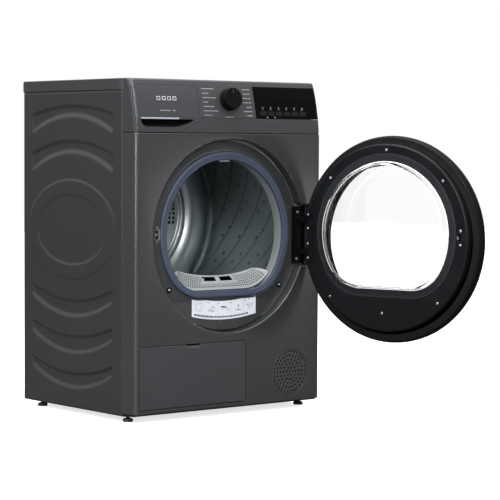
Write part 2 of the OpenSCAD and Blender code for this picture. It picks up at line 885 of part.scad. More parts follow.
module evaporator() {
  color("#b08a5a") fins(-262, -12, -200, -110, 58, 164, 12);
}

module condenser() {
  color("#b3b6b8") fins(-262, -12, -96, 60, 58, 164, 20);
}

module compressor() {
  color("#202224") {
    translate([170, 140, 40]) cylinder(r = 56, h = 170, $fn = 96);
    translate([170, 140, 209]) cylinder(r1 = 56, r2 = 34, h = 16, $fn = 96);
    translate([170, 140, 23.1]) cylinder(r = 70, h = 6, $fn = 64);
    translate([170, 140, 29]) cylinder(r = 20, h = 12);
  }
}

// a tube of radius r through a list of points
module tube(points, r) {
  for (i = [0:len(points) - 2]) {
    d = points[i + 1] - points[i];
    translate(points[i]) rotate([0, acos(d[2] / norm(d)), atan2(d[1], d[0])]) cylinder(r = r, h = norm(d), $fn = 32);
    if (i > 0) translate(points[i]) sphere(r = r, $fn = 32);
  }
}

module refrigerant_pipes() {
  color("#b87346") {
    tube([[113.6, 140, 100], [20, 140, 100], [20, 54, 100], [-11.9, 54, 100]], 4);
    tube([[-11.9, -150, 90], [50, -150, 90], [50, 110, 90], [119.5, 110, 90]], 5);
  }
}

module condensate_pump() {
  color("#d4d6d8") {
    translate([-200, 150, 23.1]) cylinder(r = 30, h = 60);
    translate([-200, 150, 83]) cylinder(r = 22, h = 40);
  }
}

base_tray();
feet();
side_panel_left();
side_panel_right();
front_panel();
top_panel();
rear_panel();
air_grille();
door_gasket();
front_bulkhead();
drum_light();
door_latch();
door_bumpers();
hinge_bracket();
hinge_pins();
bracket_screws();
instruction_label();
fascia_frame();
programme_panel();
display_window();
control_board();
tank_guide();
filter_duct();
exchanger_cover();
evaporator();
condenser();
compressor();
refrigerant_pipes();
condensate_pump();
motor();
blower_housing();
drive_belt();
rear_bearing();
rear_duct();
drain_spigot();
mains_inlet();
door_outer_frame();
door_window();
door_inner_frame();
door_bowl();
bowl_ring();
door_hook();
hinge_leaf();
door_screws();
drum_shell();
drum_rear_wall();
drum_baffles();
drum_shaft();
motor_rotor();
blower_wheel();
support_roller(-1);  // support_roller_left
support_roller(1);  // support_roller_right
tensioner_arm();
tensioner_pulley();
selector_knob();
drawer_front();
grip_strip();
water_tank();
service_flap();
lint_filter();
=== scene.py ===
"""Looks of the clothes dryer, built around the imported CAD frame.

Lengths are millimetres in the part's frame unless a name ends in _m; Shape.piece() turns them into metres.
"""
import json
import math

import bmesh
import bpy
from mathutils import Matrix, Vector
from mathutils.geometry import tessellate_polygon


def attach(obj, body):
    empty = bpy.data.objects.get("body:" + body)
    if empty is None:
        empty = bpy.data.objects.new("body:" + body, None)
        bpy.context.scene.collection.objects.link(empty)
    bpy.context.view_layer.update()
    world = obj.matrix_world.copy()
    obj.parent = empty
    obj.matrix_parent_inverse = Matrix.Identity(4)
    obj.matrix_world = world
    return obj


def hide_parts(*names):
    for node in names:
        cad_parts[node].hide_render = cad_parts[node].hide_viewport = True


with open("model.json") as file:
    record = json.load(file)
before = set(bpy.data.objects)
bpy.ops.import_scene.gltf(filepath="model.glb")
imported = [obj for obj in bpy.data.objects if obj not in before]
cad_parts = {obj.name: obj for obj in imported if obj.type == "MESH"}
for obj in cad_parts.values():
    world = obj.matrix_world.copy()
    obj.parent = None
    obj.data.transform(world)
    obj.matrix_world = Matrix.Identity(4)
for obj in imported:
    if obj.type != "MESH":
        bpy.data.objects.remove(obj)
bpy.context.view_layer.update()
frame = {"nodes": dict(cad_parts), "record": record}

MM = 0.001
HALF_W = 298
FRONT_Y = -250
SEAM_Z = 712
SIDE_SEAM_Y = -194.6
SIDE_BACK_Y = 245
SIDE_Z0 = 14.7
FRONT_Z0 = 21.8
LID_Z = 816.3
TOP_Z = 845
LID_FRONT_Y = -200.8
CORNER_R = 12
FLOOR_Y = -226
RECESS_R, RECESS_Z = 244, 454
PORT_R, PORT_Z, PORT_FLAT = 187, 459, 315
HINGE_X, HINGE_Y = 247, -268.9
DOOR_OPEN = math.radians(105.9)
RING_Z, INNER_Z, GLASS_Z = 447.2, 452.2, 462
PLATE_Y = -231.8
INNER_R = 235.7
DRUM_Z = 496
POCKET_X, POCKET_Z0, POCKET_Z1 = 264, 372, 528
SLOT = (-221, 449, -209, 473)
SLOT_X = -215
FLAP_X0, FLAP_X1, FLAP_Z0, FLAP_Z1 = -288, 50, 31.2, 188
FLAP_AXIS_Y, FLAP_AXIS_Z = -247.2, 35
GRILLE_X, GRILLE_Z, GRILLE_R = 197, 98, 57
FOOT_X, FOOT_Y = 276, 190
BUMPER_X, BUMPER_Z = 177.5, 323


# ---------- outlines in X and Z ----------

def arc(cx, cz, r, a0, a1, n):
    """Points along an arc, both ends included, angles in degrees."""
    steps = [math.radians(a0 + (a1 - a0) * i / n) for i in range(n + 1)]
    return [(cx + r * math.cos(a), cz + r * math.sin(a)) for a in steps]


def circle(cx, cz, r, n=96):
    return arc(cx, cz, r, 0, 360, n)[:-1]


def port(r, z, flat_z, n=110):
    """Round outline with a flat bottom and large lower corners."""
    rc = r - 87
    drop = z - flat_z - rc
    cx = math.sqrt((r - rc) ** 2 - drop * drop)
    turn = math.degrees(math.atan2(drop, cx))
    right = arc(cx, flat_z + rc, rc, -90, -turn, 14)
    top = arc(0, z, r, -turn, 180 + turn, n)[1:]
    left = arc(-cx, flat_z + rc, rc, 180 + turn, 270, 14)[1:]
    return right + top + left


def soft_rect(x0, z0, x1, z1, r, n=6):
    corners = ((x1 - r, z1 - r, 0), (x0 + r, z1 - r, 90), (x0 + r, z0 + r, 180), (x1 - r, z0 + r, 270))
    return [p for cx, cz, a in corners for p in arc(cx, cz, r, a, a + 90, n)]


def resample(loop, step):
    """A closed outline with points evenly apart."""
    ends = loop[1:] + loop[:1]
    lengths = [math.dist(a, b) for a, b in zip(loop, ends)]
    count = max(8, round(sum(lengths) / step))
    gap = sum(lengths) / count
    out, i, along = [], 0, 0.0
    for k in range(count):
        want = k * gap
        while along + lengths[i] < want:
            along += lengths[i]
            i += 1
        t = (want - along) / lengths[i]
        a, b = loop[i], ends[i]
        out.append((a[0] + (b[0] - a[0]) * t, a[1] + (b[1] - a[1]) * t))
    return out


def soften(loop, passes):
    """Rounds the corners of an evenly spaced outline."""
    for _ in range(passes):
        loop = [tuple((loop[i - 1][k] + 2 * loop[i][k] + loop[(i + 1) % len(loop)][k]) / 4 for k in (0, 1))
                for i in range(len(loop))]
    return loop


def grow(loop, d):
    """A counter-clockwise outline moved outwards by d."""
    out = []
    for i, p in enumerate(loop):
        a, b = Vector(loop[i - 1]), Vector(loop[(i + 1) % len(loop)])
        e0, e1 = (Vector(p) - a).normalized(), (b - Vector(p)).normalized()
        n = Vector((e0.y + e1.y, -e0.x - e1.x))
        n.normalize()
        side = Vector((e0.y, -e0.x))
        scale = d / max(0.4, n.dot(side))
        out.append((p[0] + n.x * scale, p[1] + n.y * scale))
    return out


def rounded_edge(r, y, turn=1, n=4):
    """Pairs of inset and depth that round an edge of radius r which starts on the face at y and runs back."""
    return [(r - r * math.sin(a), y + turn * (r - r * math.cos(a)))
            for a in (math.pi / 2 * i / n for i in range(n + 1))]


def turned(profile, cz, n):
    """Rows of points for a profile of radius and Y, turned about the axis along Y at height cz."""
    angles = [2 * math.pi * i / n for i in range(n)]
    return [[(r * math.cos(a), y, cz + r * math.sin(a)) for a in angles] for r, y in profile]


def border(grid):
    """Vertices round the edge of a grid of rows."""
    return grid[0] + [r[-1] for r in grid[1:]] + grid[-1][-2::-1] + [r[0] for r in grid[-2:0:-1]]


# ---------- meshes ----------

class Shape:
    """Vertices and faces collected in millimetres, made into one Blender object at the end."""

    def __init__(self):
        self.points = []
        self.faces = []

    def add(self, points):
        start = len(self.points)
        self.points.extend(points)
        return list(range(start, len(self.points)))

    def strip(self, low, high, closed=True):
        """Quads between two rows of the same length."""
        n = len(low)
        for i in range(n if closed else n - 1):
            j = (i + 1) % n
            self.faces.append((low[i], low[j], high[j], high[i]))

    def rows(self, rows, closed=True):
        made = [self.add(r) for r in rows]
        for a, b in zip(made, made[1:]):
            self.strip(a, b, closed)
        return made

    def rings(self, outline, profile):
        """Rows for a profile of size and Y; outline gives the loop of X and Z for each size."""
        return self.rows([[(x, y, z) for x, z in outline(d)] for d, y in profile])

    def close_ends(self, made):
        """Flat faces over the first and the last row."""
        self.faces.append(tuple(made[0][::-1]))
        self.faces.append(tuple(made[-1]))

    def cap(self, loops, flip=False):
        """Flat face with holes, from rows of vertices that are already there."""
        flat = [i for loop in loops for i in loop]
        for t in tessellate_polygon([[Vector(self.points[i]) for i in loop] for loop in loops]):
            face = tuple(flat[k] for k in t)
            self.faces.append(face[::-1] if flip else face)

    def plate(self, outer, holes, y0, y1, edge=0.5, back_edge=0.0, hole_edge=None):
        """Slab between y0 at the front and y1 at the back, with rounded edges, outlines in X and Z."""
        hole_edge = edge if hole_edge is None else hole_edge
        fronts, backs = [], []
        for k, loop in enumerate([outer] + list(holes)):
            r = edge if k == 0 else hole_edge
            sign = 1 if k == 0 else -1
            profile = rounded_edge(r, y0) if r else [(0, y0)]
            if back_edge and k == 0:
                profile += [(i, y) for i, y in reversed(rounded_edge(back_edge, y1, -1))]
            else:
                profile.append((0, y1))
            made = self.rings(lambda inset: grow(loop, -inset * sign), profile)
            fronts.append(made[0])
            backs.append(made[-1])
        self.cap(fronts)
        self.cap(backs, flip=True)
        return self

    def lathe(self, profile, cx, cz, n=128, a0=0.0, a1=360.0):
        """Closed profile of radius and Y turned about an axis along Y."""
        full = a1 - a0 >= 360
        steps = n if full else n + 1
        angles = [math.radians(a0 + (a1 - a0) * i / n) for i in range(steps)]
        rows = [[(cx + r * math.cos(a), y, cz + r * math.sin(a)) for a in angles] for r, y in profile]
        made = self.rows(rows, closed=full)
        self.strip(made[-1], made[0], closed=full)
        return self

    def box(self, low, high):
        """Plain block, used only as one part of a larger shape."""
        x0, y0, z0 = low
        x1, y1, z1 = high
        self.close_ends(self.rows([[(x0, y0, z), (x1, y0, z), (x1, y1, z), (x0, y1, z)] for z in (z0, z1)]))
        return self

    def piece(self, name, material, body, replaces=(), slot=None, door=False, thick=0.0, bevel=0.0,
              bevel_angle=35, smooth=40, turn=None):
        """Makes the object, gives it its modifiers and lets it ride on its body."""
        points = [Vector(p) for p in self.points]
        if turn:
            points = [turn @ p for p in points]
        if door:
            points = [DOOR_POSE @ p for p in points]
        mesh = bpy.data.meshes.new(name)
        mesh.from_pydata([p * MM for p in points], [], self.faces)
        bm = bmesh.new()
        bm.from_mesh(mesh)
        bmesh.ops.remove_doubles(bm, verts=bm.verts, dist=1e-6)
        bmesh.ops.dissolve_degenerate(bm, edges=bm.edges, dist=1e-6)
        if not thick:
            bmesh.ops.recalc_face_normals(bm, faces=bm.faces)
        for f in bm.faces:
            f.smooth = True
        for e in bm.edges:
            e.smooth = len(e.link_faces) != 2 or e.calc_face_angle(0) < math.radians(smooth)
        bm.to_mesh(mesh)
        bm.free()
        mesh.materials.append(material)
        obj = bpy.data.objects.new(name, mesh)
        bpy.context.scene.collection.objects.link(obj)
        if thick:
            solid = obj.modifiers.new("sheet", "SOLIDIFY")
            solid.thickness = thick * MM
            solid.offset = -1
        if bevel:
            soft_edges(obj, bevel, bevel_angle)
        else:
            keep_flats(obj)
        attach(obj, body)
        if replaces:
            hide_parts(*replaces)
        return obj


def soft_edges(obj, width, angle=35):
    """Bevel on the sharp edges, with flat faces kept flat."""
    for p in obj.data.polygons:
        p.use_smooth = True
    bevel = obj.modifiers.new("edges", "BEVEL")
    bevel.width = width * MM
    bevel.segments = 2
    bevel.limit_method = "ANGLE"
    bevel.angle_limit = math.radians(angle)
    bevel.harden_normals = True
    keep_flats(obj)


def keep_flats(obj):
    """Shading that leaves large flat faces flat beside small rounded ones."""
    weighted = obj.modifiers.new("normals", "WEIGHTED_NORMAL")
    weighted.keep_sharp = True


DOOR_POSE = (Matrix.Translation((HINGE_X, HINGE_Y, 0)) @ Matrix.Rotation(DOOR_OPEN, 4, "Z")
             @ Matrix.Translation((-HINGE_X, -HINGE_Y, 0)))


# ---------- materials ----------

def nodes_of(name):
    m = bpy.data.materials.new(name)
    m.use_nodes = True
    tree = m.node_tree
    return m, tree, tree.nodes["Principled BSDF"]


def add_node(tree, kind, **sockets):
    node = tree.nodes.new(kind)
    for key, value in sockets.items():
        node.inputs[key.replace("_", " ")].default_value = value
    return node


def noise_of(tree, vector, scale, detail=3.0, rough=0.5):
    node = add_node(tree, "ShaderNodeTexNoise", Scale=scale, Detail=detail, Roughness=rough)
    tree.links.new(vector, node.inputs["Vector"])
    return node.outputs["Fac"]


def ramp(tree, value, low, high, a, b):
    """Maps value from low..high to a..b."""
    node = add_node(tree, "ShaderNodeMapRange", From_Min=low, From_Max=high, To_Min=a, To_Max=b)
    tree.links.new(value, node.inputs["Value"])
    return node.outputs["Result"]


def surface(name, color, rough, metal=0.0, spread=0.08, rough_spread=0.06, patch=9.0, grain=700.0,
            grain_depth=0.02, speckle=0.0, wear=0.0, coat=0.0, coat_rough=0.1, level=0.5, stretch=None):
    """A surface with patchy tone, changing gloss, a fine grain and brighter worn edges. Depths are in mm."""
    m, tree, bsdf = nodes_of(name)
    links = tree.links
    coords = tree.nodes.new("ShaderNodeTexCoord").outputs["Object"]
    fine = coords
    if stretch:
        mapping = add_node(tree, "ShaderNodeMapping", Scale=stretch)
        links.new(coords, mapping.inputs["Vector"])
        fine = mapping.outputs["Vector"]
    cloud = noise_of(tree, coords, patch, 4.0)
    grains = noise_of(tree, fine, grain, 2.0, 0.6)
    dark = [c * (1 - spread) for c in color] + [1]
    light = [min(1, c * (1 + spread)) for c in color] + [1]
    mix = tree.nodes.new("ShaderNodeMix")
    mix.data_type = "RGBA"
    mix.inputs["A"].default_value = dark
    mix.inputs["B"].default_value = light
    links.new(ramp(tree, cloud, 0.3, 0.7, 0, 1), mix.inputs["Factor"])
    tone = mix.outputs["Result"]
    if speckle:
        flake = tree.nodes.new("ShaderNodeMix")
        flake.data_type = "RGBA"
        flake.inputs["B"].default_value = [min(1, c * (1 + speckle)) for c in color] + [1]
        links.new(tone, flake.inputs["A"])
        links.new(ramp(tree, grains, 0.55, 0.75, 0, 1), flake.inputs["Factor"])
        tone = flake.outputs["Result"]
    if wear:
        geometry = tree.nodes.new("ShaderNodeNewGeometry")
        edge = tree.nodes.new("ShaderNodeMix")
        edge.data_type = "RGBA"
        edge.inputs["B"].default_value = [min(1, c * (1 + wear) + 0.01) for c in color] + [1]
        links.new(tone, edge.inputs["A"])
        links.new(ramp(tree, geometry.outputs["Pointiness"], 0.52, 0.6, 0, 1), edge.inputs["Factor"])
        tone = edge.outputs["Result"]
    links.new(tone, bsdf.inputs["Base Color"])
    links.new(ramp(tree, cloud, 0.3, 0.7, max(0.02, rough - rough_spread), rough + rough_spread),
              bsdf.inputs["Roughness"])
    bump = add_node(tree, "ShaderNodeBump", Strength=1.0, Distance=grain_depth * MM)
    links.new(grains, bump.inputs["Height"])
    links.new(bump.outputs["Normal"], bsdf.inputs["Normal"])
    bsdf.inputs["Metallic"].default_value = metal
    bsdf.inputs["Specular IOR Level"].default_value = level
    bsdf.inputs["Coat Weight"].default_value = coat
    bsdf.inputs["Coat Roughness"].default_value = coat_rough
    return m


def turned_metal(name, color, rough, cz):
    """Steel with fine rings around an axis along Y at height cz."""
    m, tree, bsdf = nodes_of(name)
    links = tree.links
    coords = tree.nodes.new("ShaderNodeTexCoord").outputs["Object"]
    shift = add_node(tree, "ShaderNodeMapping", Location=(0, 0, -cz * MM), Scale=(1, 0, 1))
    links.new(coords, shift.inputs["Vector"])
    radius = tree.nodes.new("ShaderNodeVectorMath")
    radius.operation = "LENGTH"
    links.new(shift.outputs["Vector"], radius.inputs[0])
    rings = tree.nodes.new("ShaderNodeTexNoise")
    rings.noise_dimensions = "1D"
    rings.inputs["Scale"].default_value = 900
    rings.inputs["Detail"].default_value = 3
    links.new(radius.outputs["Value"], rings.inputs["W"])
    cloud = noise_of(tree, coords, 14, 4.0)
    mix = tree.nodes.new("ShaderNodeMix")
    mix.data_type = "RGBA"
    mix.inputs["A"].default_value = [c * 0.86 for c in color] + [1]
    mix.inputs["B"].default_value = list(color) + [1]
    links.new(ramp(tree, rings.outputs["Fac"], 0.3, 0.7, 0, 1), mix.inputs["Factor"])
    links.new(mix.outputs["Result"], bsdf.inputs["Base Color"])
    links.new(ramp(tree, cloud, 0.3, 0.7, rough - 0.06, rough + 0.08), bsdf.inputs["Roughness"])
    bump = add_node(tree, "ShaderNodeBump", Strength=0.4, Distance=0.006 * MM)
    links.new(rings.outputs["Fac"], bump.inputs["Height"])
    links.new(bump.outputs["Normal"], bsdf.inputs["Normal"])
    bsdf.inputs["Metallic"].default_value = 1.0
    return m


def glass_of(name):
    """Clear glass with a faint film that changes its gloss."""
    m, tree, bsdf = nodes_of(name)
    coords = tree.nodes.new("ShaderNodeTexCoord").outputs["Object"]
    film = noise_of(tree, coords, 12, 3.0)
    tree.links.new(ramp(tree, film, 0.35, 0.75, 0.0, 0.015), bsdf.inputs["Roughness"])
    bsdf.inputs["Base Color"].default_value = (1, 1, 1, 1)
    bsdf.inputs["Transmission Weight"].default_value = 1.0
    bsdf.inputs["IOR"].default_value = 1.45
    return m


STEEL = surface("anthracite_steel", (0.05, 0.0525, 0.055), 0.28, metal=0.45, spread=0.02, rough_spread=0.02,
                speckle=0.05, grain=2600, grain_depth=0.0012, patch=5, wear=0.5, coat=0.3, coat_rough=0.1,
                level=0.35)
PANEL = surface("anthracite_plastic", (0.051, 0.0535, 0.057), 0.34, metal=0.3, spread=0.03, rough_spread=0.03,
                speckle=0.12, grain=1800, grain_depth=0.003, patch=6, wear=0.4, level=0.35)
BLACK = surface("black_plastic", (0.003, 0.0034, 0.004), 0.3, spread=0.15, grain=900, grain_depth=0.006,
                patch=12, wear=0.8, level=0.05)
BLACK_MATTE = surface("black_matte", (0.0045, 0.0047, 0.005), 0.5, spread=0.15, grain=1200, grain_depth=0.02,
                      wear=0.6, level=0.04)
BLACK_GLASS = surface("black_glass", (0.002, 0.002, 0.0025), 0.14, spread=0.1, rough_spread=0.03, grain=60,
                      grain_depth=0.003, level=0.06)
GLASS = glass_of("clear_glass")
GASKET = surface("gasket_rubber", (0.043, 0.056, 0.09), 0.5, spread=0.07, grain=600, grain_depth=0.03,
                 wear=0.2, level=0.4)
RUBBER = surface("rubber_black", (0.02, 0.02, 0.021), 0.65, spread=0.2, grain=900, grain_depth=0.05, wear=0.6)
STAINLESS = turned_metal("stainless", (0.62, 0.66, 0.67), 0.36, DRUM_Z)
ZINC = surface("zinc", (0.48, 0.48, 0.5), 0.3, metal=1.0, spread=0.15, rough_spread=0.1, grain=500,
               grain_depth=0.01, patch=120)
DRUM_COAT = surface("drum_coat", (0.2, 0.24, 0.245), 0.42, metal=0.5, spread=0.1, grain=1500,
                    grain_depth=0.01, patch=7, speckle=0.2)
# Darker copy of the drum coat for faces deep in the dimples and grooves: painted shade.
DRUM_DENT_SHADE = surface("drum_pressing_shade", (0.1, 0.12, 0.125), 0.45, metal=0.5, spread=0.1, grain=1500,
                    grain_depth=0.01, patch=7)
GREY = surface("grey_plastic", (0.26, 0.28, 0.282), 0.45, spread=0.05, grain=1000, grain_depth=0.02, wear=0.1)
DARK_GREY = surface("dark_grey_plastic", (0.016, 0.0175, 0.02), 0.34, spread=0.12, grain=1100,
                    grain_depth=0.015, wear=0.4, level=0.22)
DARK_GREY_LIGHT = surface("mid_grey_plastic", (0.13, 0.135, 0.14), 0.4, spread=0.08, grain=900,
                          grain_depth=0.01)
SILVER = surface("silver_trim", (0.4, 0.43, 0.49), 0.4, metal=0.4, spread=0.04, grain=900, grain_depth=0.004,
                 stretch=(0.03, 1, 1))
FILM = surface("label_film", (0.66, 0.69, 0.74), 0.35, spread=0.03, grain=400, grain_depth=0.01, patch=30)
INK = surface("print_dark", (0.06, 0.065, 0.075), 0.5, spread=0.2, grain=900, grain_depth=0.005)
INK_LIGHT = surface("print_light", (0.46, 0.47, 0.49), 0.5, spread=0.1, grain=900, grain_depth=0.005)
INK_MID = surface("print_mid", (0.27, 0.275, 0.285), 0.5, spread=0.1, grain=900, grain_depth=0.005)
INK_GREY = surface("print_grey", (0.2, 0.205, 0.21), 0.4, spread=0.1, grain=900, grain_depth=0.005)
FIELD = surface("touch_field", (0.0062, 0.0062, 0.007), 0.2, spread=0.1, grain=300, grain_depth=0.003,
                level=0.3)
INK_DIM = surface("print_dim", (0.05, 0.052, 0.056), 0.45, spread=0.1, grain=900, grain_depth=0.005)
LENS = surface("light_lens", (0.8, 0.82, 0.83), 0.35, spread=0.03, grain=300, grain_depth=0.03)
PCB = surface("pcb", (0.03, 0.13, 0.06), 0.45, spread=0.25, grain=400, grain_depth=0.1, patch=90, speckle=1.2)
COPPER = surface("copper", (0.6, 0.26, 0.12), 0.32, metal=1.0, spread=0.2, rough_spread=0.12, patch=25)
FINS = surface("fins", (0.58, 0.59, 0.6), 0.35, metal=1.0, spread=0.1, grain=1200, grain_depth=0.05,
               stretch=(1, 0.05, 1))
ENAMEL = surface("cast_black", (0.014, 0.014, 0.016), 0.35, spread=0.2, grain=500, grain_depth=0.06, wear=0.8)
TANK = surface("tank_plastic", (0.55, 0.58, 0.6), 0.4, spread=0.06, grain=600, grain_depth=0.03)
ZINC_SHEET = surface("galvanised", (0.4, 0.41, 0.42), 0.4, metal=0.9, spread=0.22, rough_spread=0.12,
                     patch=45, grain=300, grain_depth=0.01)
VOID = surface("deep_shadow", (0.002, 0.002, 0.0022), 0.7, spread=0.2, grain=900, level=0.02)
SCREEN = surface("filter_screen", (0.03, 0.032, 0.034), 0.6, spread=0.2, grain=2500, grain_depth=0.05,
                 level=0.2)
FACE = surface("door_face_plastic", (0.0055, 0.006, 0.007), 0.36, spread=0.12, grain=1000, grain_depth=0.012,
               patch=10, wear=0.5, level=0.16)

BY_SLOT = {"anthracite_steel": STEEL, "anthracite_plastic": PANEL, "black_plastic": BLACK,
           "black_matte": BLACK_MATTE, "black_glass": BLACK_GLASS, "clear_glass": GLASS,
           "gasket_rubber": GASKET, "rubber_black": RUBBER, "stainless": STAINLESS, "zinc": ZINC,
           "drum_coat": DRUM_COAT, "grey_plastic": GREY, "dark_grey_plastic": DARK_GREY,
           "silver_trim": SILVER, "label_film": FILM, "light_lens": LENS, "pcb": PCB, "copper": COPPER,
           "fins": FINS, "cast_black": ENAMEL, "tank_plastic": TANK, "galvanised": ZINC_SHEET}


# ---------- cabinet skin ----------

def wrap_columns():
    """Plan of the wrapped front from left return to right return: X, Y and the outward direction."""
    left = [(-HALF_W, SIDE_SEAM_Y - 0.3, -1, 0), (-HALF_W, FRONT_Y + CORNER_R, -1, 0)]
    turn = [math.radians(a) for a in range(188, 270, 8)]
    inner = HALF_W - CORNER_R
    for a in turn:
        nx, ny = math.cos(a), math.sin(a)
        left.append((-inner + CORNER_R * nx, FRONT_Y + CORNER_R + CORNER_R * ny, nx, ny))
    left.append((-inner, FRONT_Y, 0, -1))
    right = [(-x, y, -nx, ny) for x, y, nx, ny in reversed(left)]
    return left, right


def recess_outline():
    """Circle of the pressed recess together with the hinge pocket at its right, corners softened."""
    a0 = math.degrees(math.asin((POCKET_Z1 - RECESS_Z) / RECESS_R))
    a1 = math.degrees(math.asin((POCKET_Z0 - RECESS_Z) / RECESS_R)) + 360
    loop = arc(0, RECESS_Z, RECESS_R, a0, a1, 120) + [(POCKET_X, POCKET_Z0), (POCKET_X, POCKET_Z1)]
    return soften(resample(loop, 3.0), 9)


def flap_outline(x0, x1, z0, z1, top_r, low_r, notch=()):
    """Outline of the service flap or of its opening, with an optional notch in the upper edge."""
    top_right = arc(x1 - top_r, z1 - top_r, top_r, 0, 90, 6)
    top_left = arc(x0 + top_r, z1 - top_r, top_r, 90, 180, 6)
    low_left = arc(x0 + low_r, z0 + low_r, low_r, 180, 270, 5)
    low_right = arc(x1 - low_r, z0 + low_r, low_r, 270, 360, 5)
    return top_right + list(notch) + top_left + low_left + low_right


def front_panel():
    """Pressed front sheet: wrapped corners, door recess with a channel round it, and openings."""
    s = Shape()
    left, right = wrap_columns()
    columns = left + right
    z0, z1 = FRONT_Z0, SEAM_Z - 1
    rows = [(z0, 9), (z0, 1.6), (z0 + 0.5, 0.5), (z0 + 1.6, 0), (z1 - 1.6, 0), (z1 - 0.5, 0.5), (z1, 1.6),
            (z1, 9)]
    made = [s.add([(x - nx * inset, y - ny * inset, z) for x, y, nx, ny in columns]) for z, inset in rows]
    for k, (a, b) in enumerate(zip(made, made[1:])):
        for i in range(len(columns) - 1):
            is_flat_face = k == 3 and i == len(left) - 1
            if not is_flat_face:
                s.faces.append((a[i], a[i + 1], b[i + 1], b[i]))
    n = len(left)
    face = [made[3][n - 1], made[3][n], made[4][n], made[4][n - 1]]
    recess = recess_outline()
    rim = rounded_edge(4, FRONT_Y, 1, 6) + [(-0.2, FLOOR_Y - 4)]
    channel = [(-0.5, FLOOR_Y + 7), (-1.0, FLOOR_Y + 7.6), (-4.0, FLOOR_Y + 7.6), (-4.5, FLOOR_Y + 7),
               (-4.7, FLOOR_Y + 0.7), (-5.4, FLOOR_Y)]
    wall = s.rings(lambda d: grow(recess, d), rim + channel)
    holes = []
    for loop in (flap_outline(FLAP_X0, FLAP_X1, FLAP_Z0, FLAP_Z1, 8.6, 4.6),
                 circle(GRILLE_X, GRILLE_Z, GRILLE_R + 0.6, 72)):
        turned_in = s.rings(lambda d: grow(loop, d), rounded_edge(0.8, FRONT_Y) + [(0, FRONT_Y + 4)])
        holes.append(turned_in[0])
    s.cap([face, wall[0]] + holes)
    opening = s.rings(lambda d: grow(port(PORT_R + 15, PORT_Z, PORT_FLAT - 12), d),
                      [(2, FLOOR_Y), (0.6, FLOOR_Y + 0.4), (0, FLOOR_Y + 2)])
    slot = s.rings(lambda d: grow(soft_rect(*SLOT, 1.5), d),
                   [(0.4, FLOOR_Y), (0, FLOOR_Y + 0.5), (0, FLOOR_Y + 2)])
    heights_of_bead = ((27.4, 0), (26.2, 0.3), (24.6, 1.1), (23.2, 1.4), (21.8, 1.1), (20.4, 0.3), (19.6, 0))
    bead = s.rings(lambda d: port(PORT_R + d, PORT_Z, PORT_FLAT - d * 0.86),
                   [(d, FLOOR_Y - h) for d, h in heights_of_bead])
    s.cap([wall[-1], bead[0], slot[0]])
    s.cap([bead[-1], opening[0]])
    s.piece("front_sheet", STEEL, "cabinet", ["front_panel"], "anthracite_steel", smooth=50)


def smooth_step(t):
    t = max(0.0, min(1.0, t))
    return t * t * (3 - 2 * t)


BANDS = [(759, 781, 705, 749), (660, 693, 608, 657), (326, 290, 290, 242), (231, 199, 196, 149),
         (137, 104, 106, 60)]
BAND_Y0, BAND_Y1 = -158, 207


def pressing_depth(y, z):
    """How far a side panel stands out at a place, in mm; the bands go in and the ring comes out."""
    t = (y - BAND_Y0) / (BAND_Y1 - BAND_Y0)
    depth = 0.0
    if -0.05 < t < 1.05:
        bulge = 4 * t * (1 - t)
        for top_end, top_mid, low_end, low_mid in BANDS:
            top = top_end + (top_mid - top_end) * bulge
            low = low_end + (low_mid - low_end) * bulge
            if low - 2 < z < top + 2:
                sides = ((top - z) / 4, (z - low) / 15, (y - BAND_Y0) / 7, (BAND_Y1 - y) / 7)
                share = -math.log(sum(math.exp(-3.2 * max(-1, d)) for d in sides)) / 3.2
                depth = -4.4 * smooth_step(share)
    u, w = (y - 25.6), (z - 467.6)
    outer = (1 - math.hypot(u / 195.5, w / 126.7)) * 150
    inner = (math.hypot(u / 150, w / 86.5) - 1) * 110
    return depth + 2.0 * smooth_step(min(outer / 3.2, inner / 5))


def side_panel(side):
    """Side sheet with pressed bands and a ring, edges turned in; side is -1 left, 1 right."""
    name = "left" if side < 0 else "right"
    y0, y1, z0, z1 = SIDE_SEAM_Y + 0.3, SIDE_BACK_Y, SIDE_Z0, LID_Z - 0.3
    ys = [y0 + 1.2 + (y1 - y0 - 2.4) * i / 124 for i in range(125)]
    zs = [z0 + 1.2 + (z1 - z0 - 2.4) * i / 300 for i in range(301)]
    x = side * HALF_W
    s = Shape()
    grid = s.rows([[(x + side * pressing_depth(y, z), y, z) for y in ys] for z in zs], closed=False)
    edge = border(grid)
    cy, cz = (y0 + y1) / 2, (z0 + z1) / 2
    ring = edge
    for out, deep in ((0.6, 0.25), (1.05, 0.7), (1.2, 1.3), (1.2, 9.0)):
        row = []
        for i in edge:
            _, y, z = s.points[i]
            at_side = y in (ys[0], ys[-1])
            at_end = z in (zs[0], zs[-1])
            row.append((x - side * deep, y + (math.copysign(out, y - cy) if at_side else 0),
                        z + (math.copysign(out, z - cz) if at_end else 0)))
        new = s.add(row)
        s.strip(ring, new)
        ring = new
    if side > 0:
        s.faces = [f[::-1] for f in s.faces]
    s.piece(f"side_sheet_{name}", STEEL, "cabinet", [f"side_panel_{name}"], "anthracite_steel", thick=1.0,
            smooth=60)


def top_panel():
    """Slab with a rounded upper edge and a shadow groove along its lower edge."""
    x0, x1, y0, y1 = -HALF_W - 2, HALF_W + 2, -200.3, 252.5
    plan = resample([(x, y) for x, y in soft_rect(x0, y0, x1, y1, 6, 8)], 12)
    s = Shape()
    profile = [(4, LID_Z), (1.0, LID_Z + 0.2), (0.3, LID_Z + 0.8), (0, LID_Z + 1.8)]
    profile += [(2.6 - 2.6 * math.cos(a), TOP_Z - 2.6 + 2.6 * math.sin(a))
                for a in (math.pi / 2 * i / 6 for i in range(7))]
    profile += [(9, TOP_Z + 0.0)]
    made = s.rows([[(x, y, z) for x, y in grow(plan, -d)] for d, z in profile])
    s.cap([made[-1]])
    s.cap([made[0]], flip=True)
    s.piece("top_board", PANEL, "cabinet", ["top_panel"], "anthracite_plastic", smooth=40)


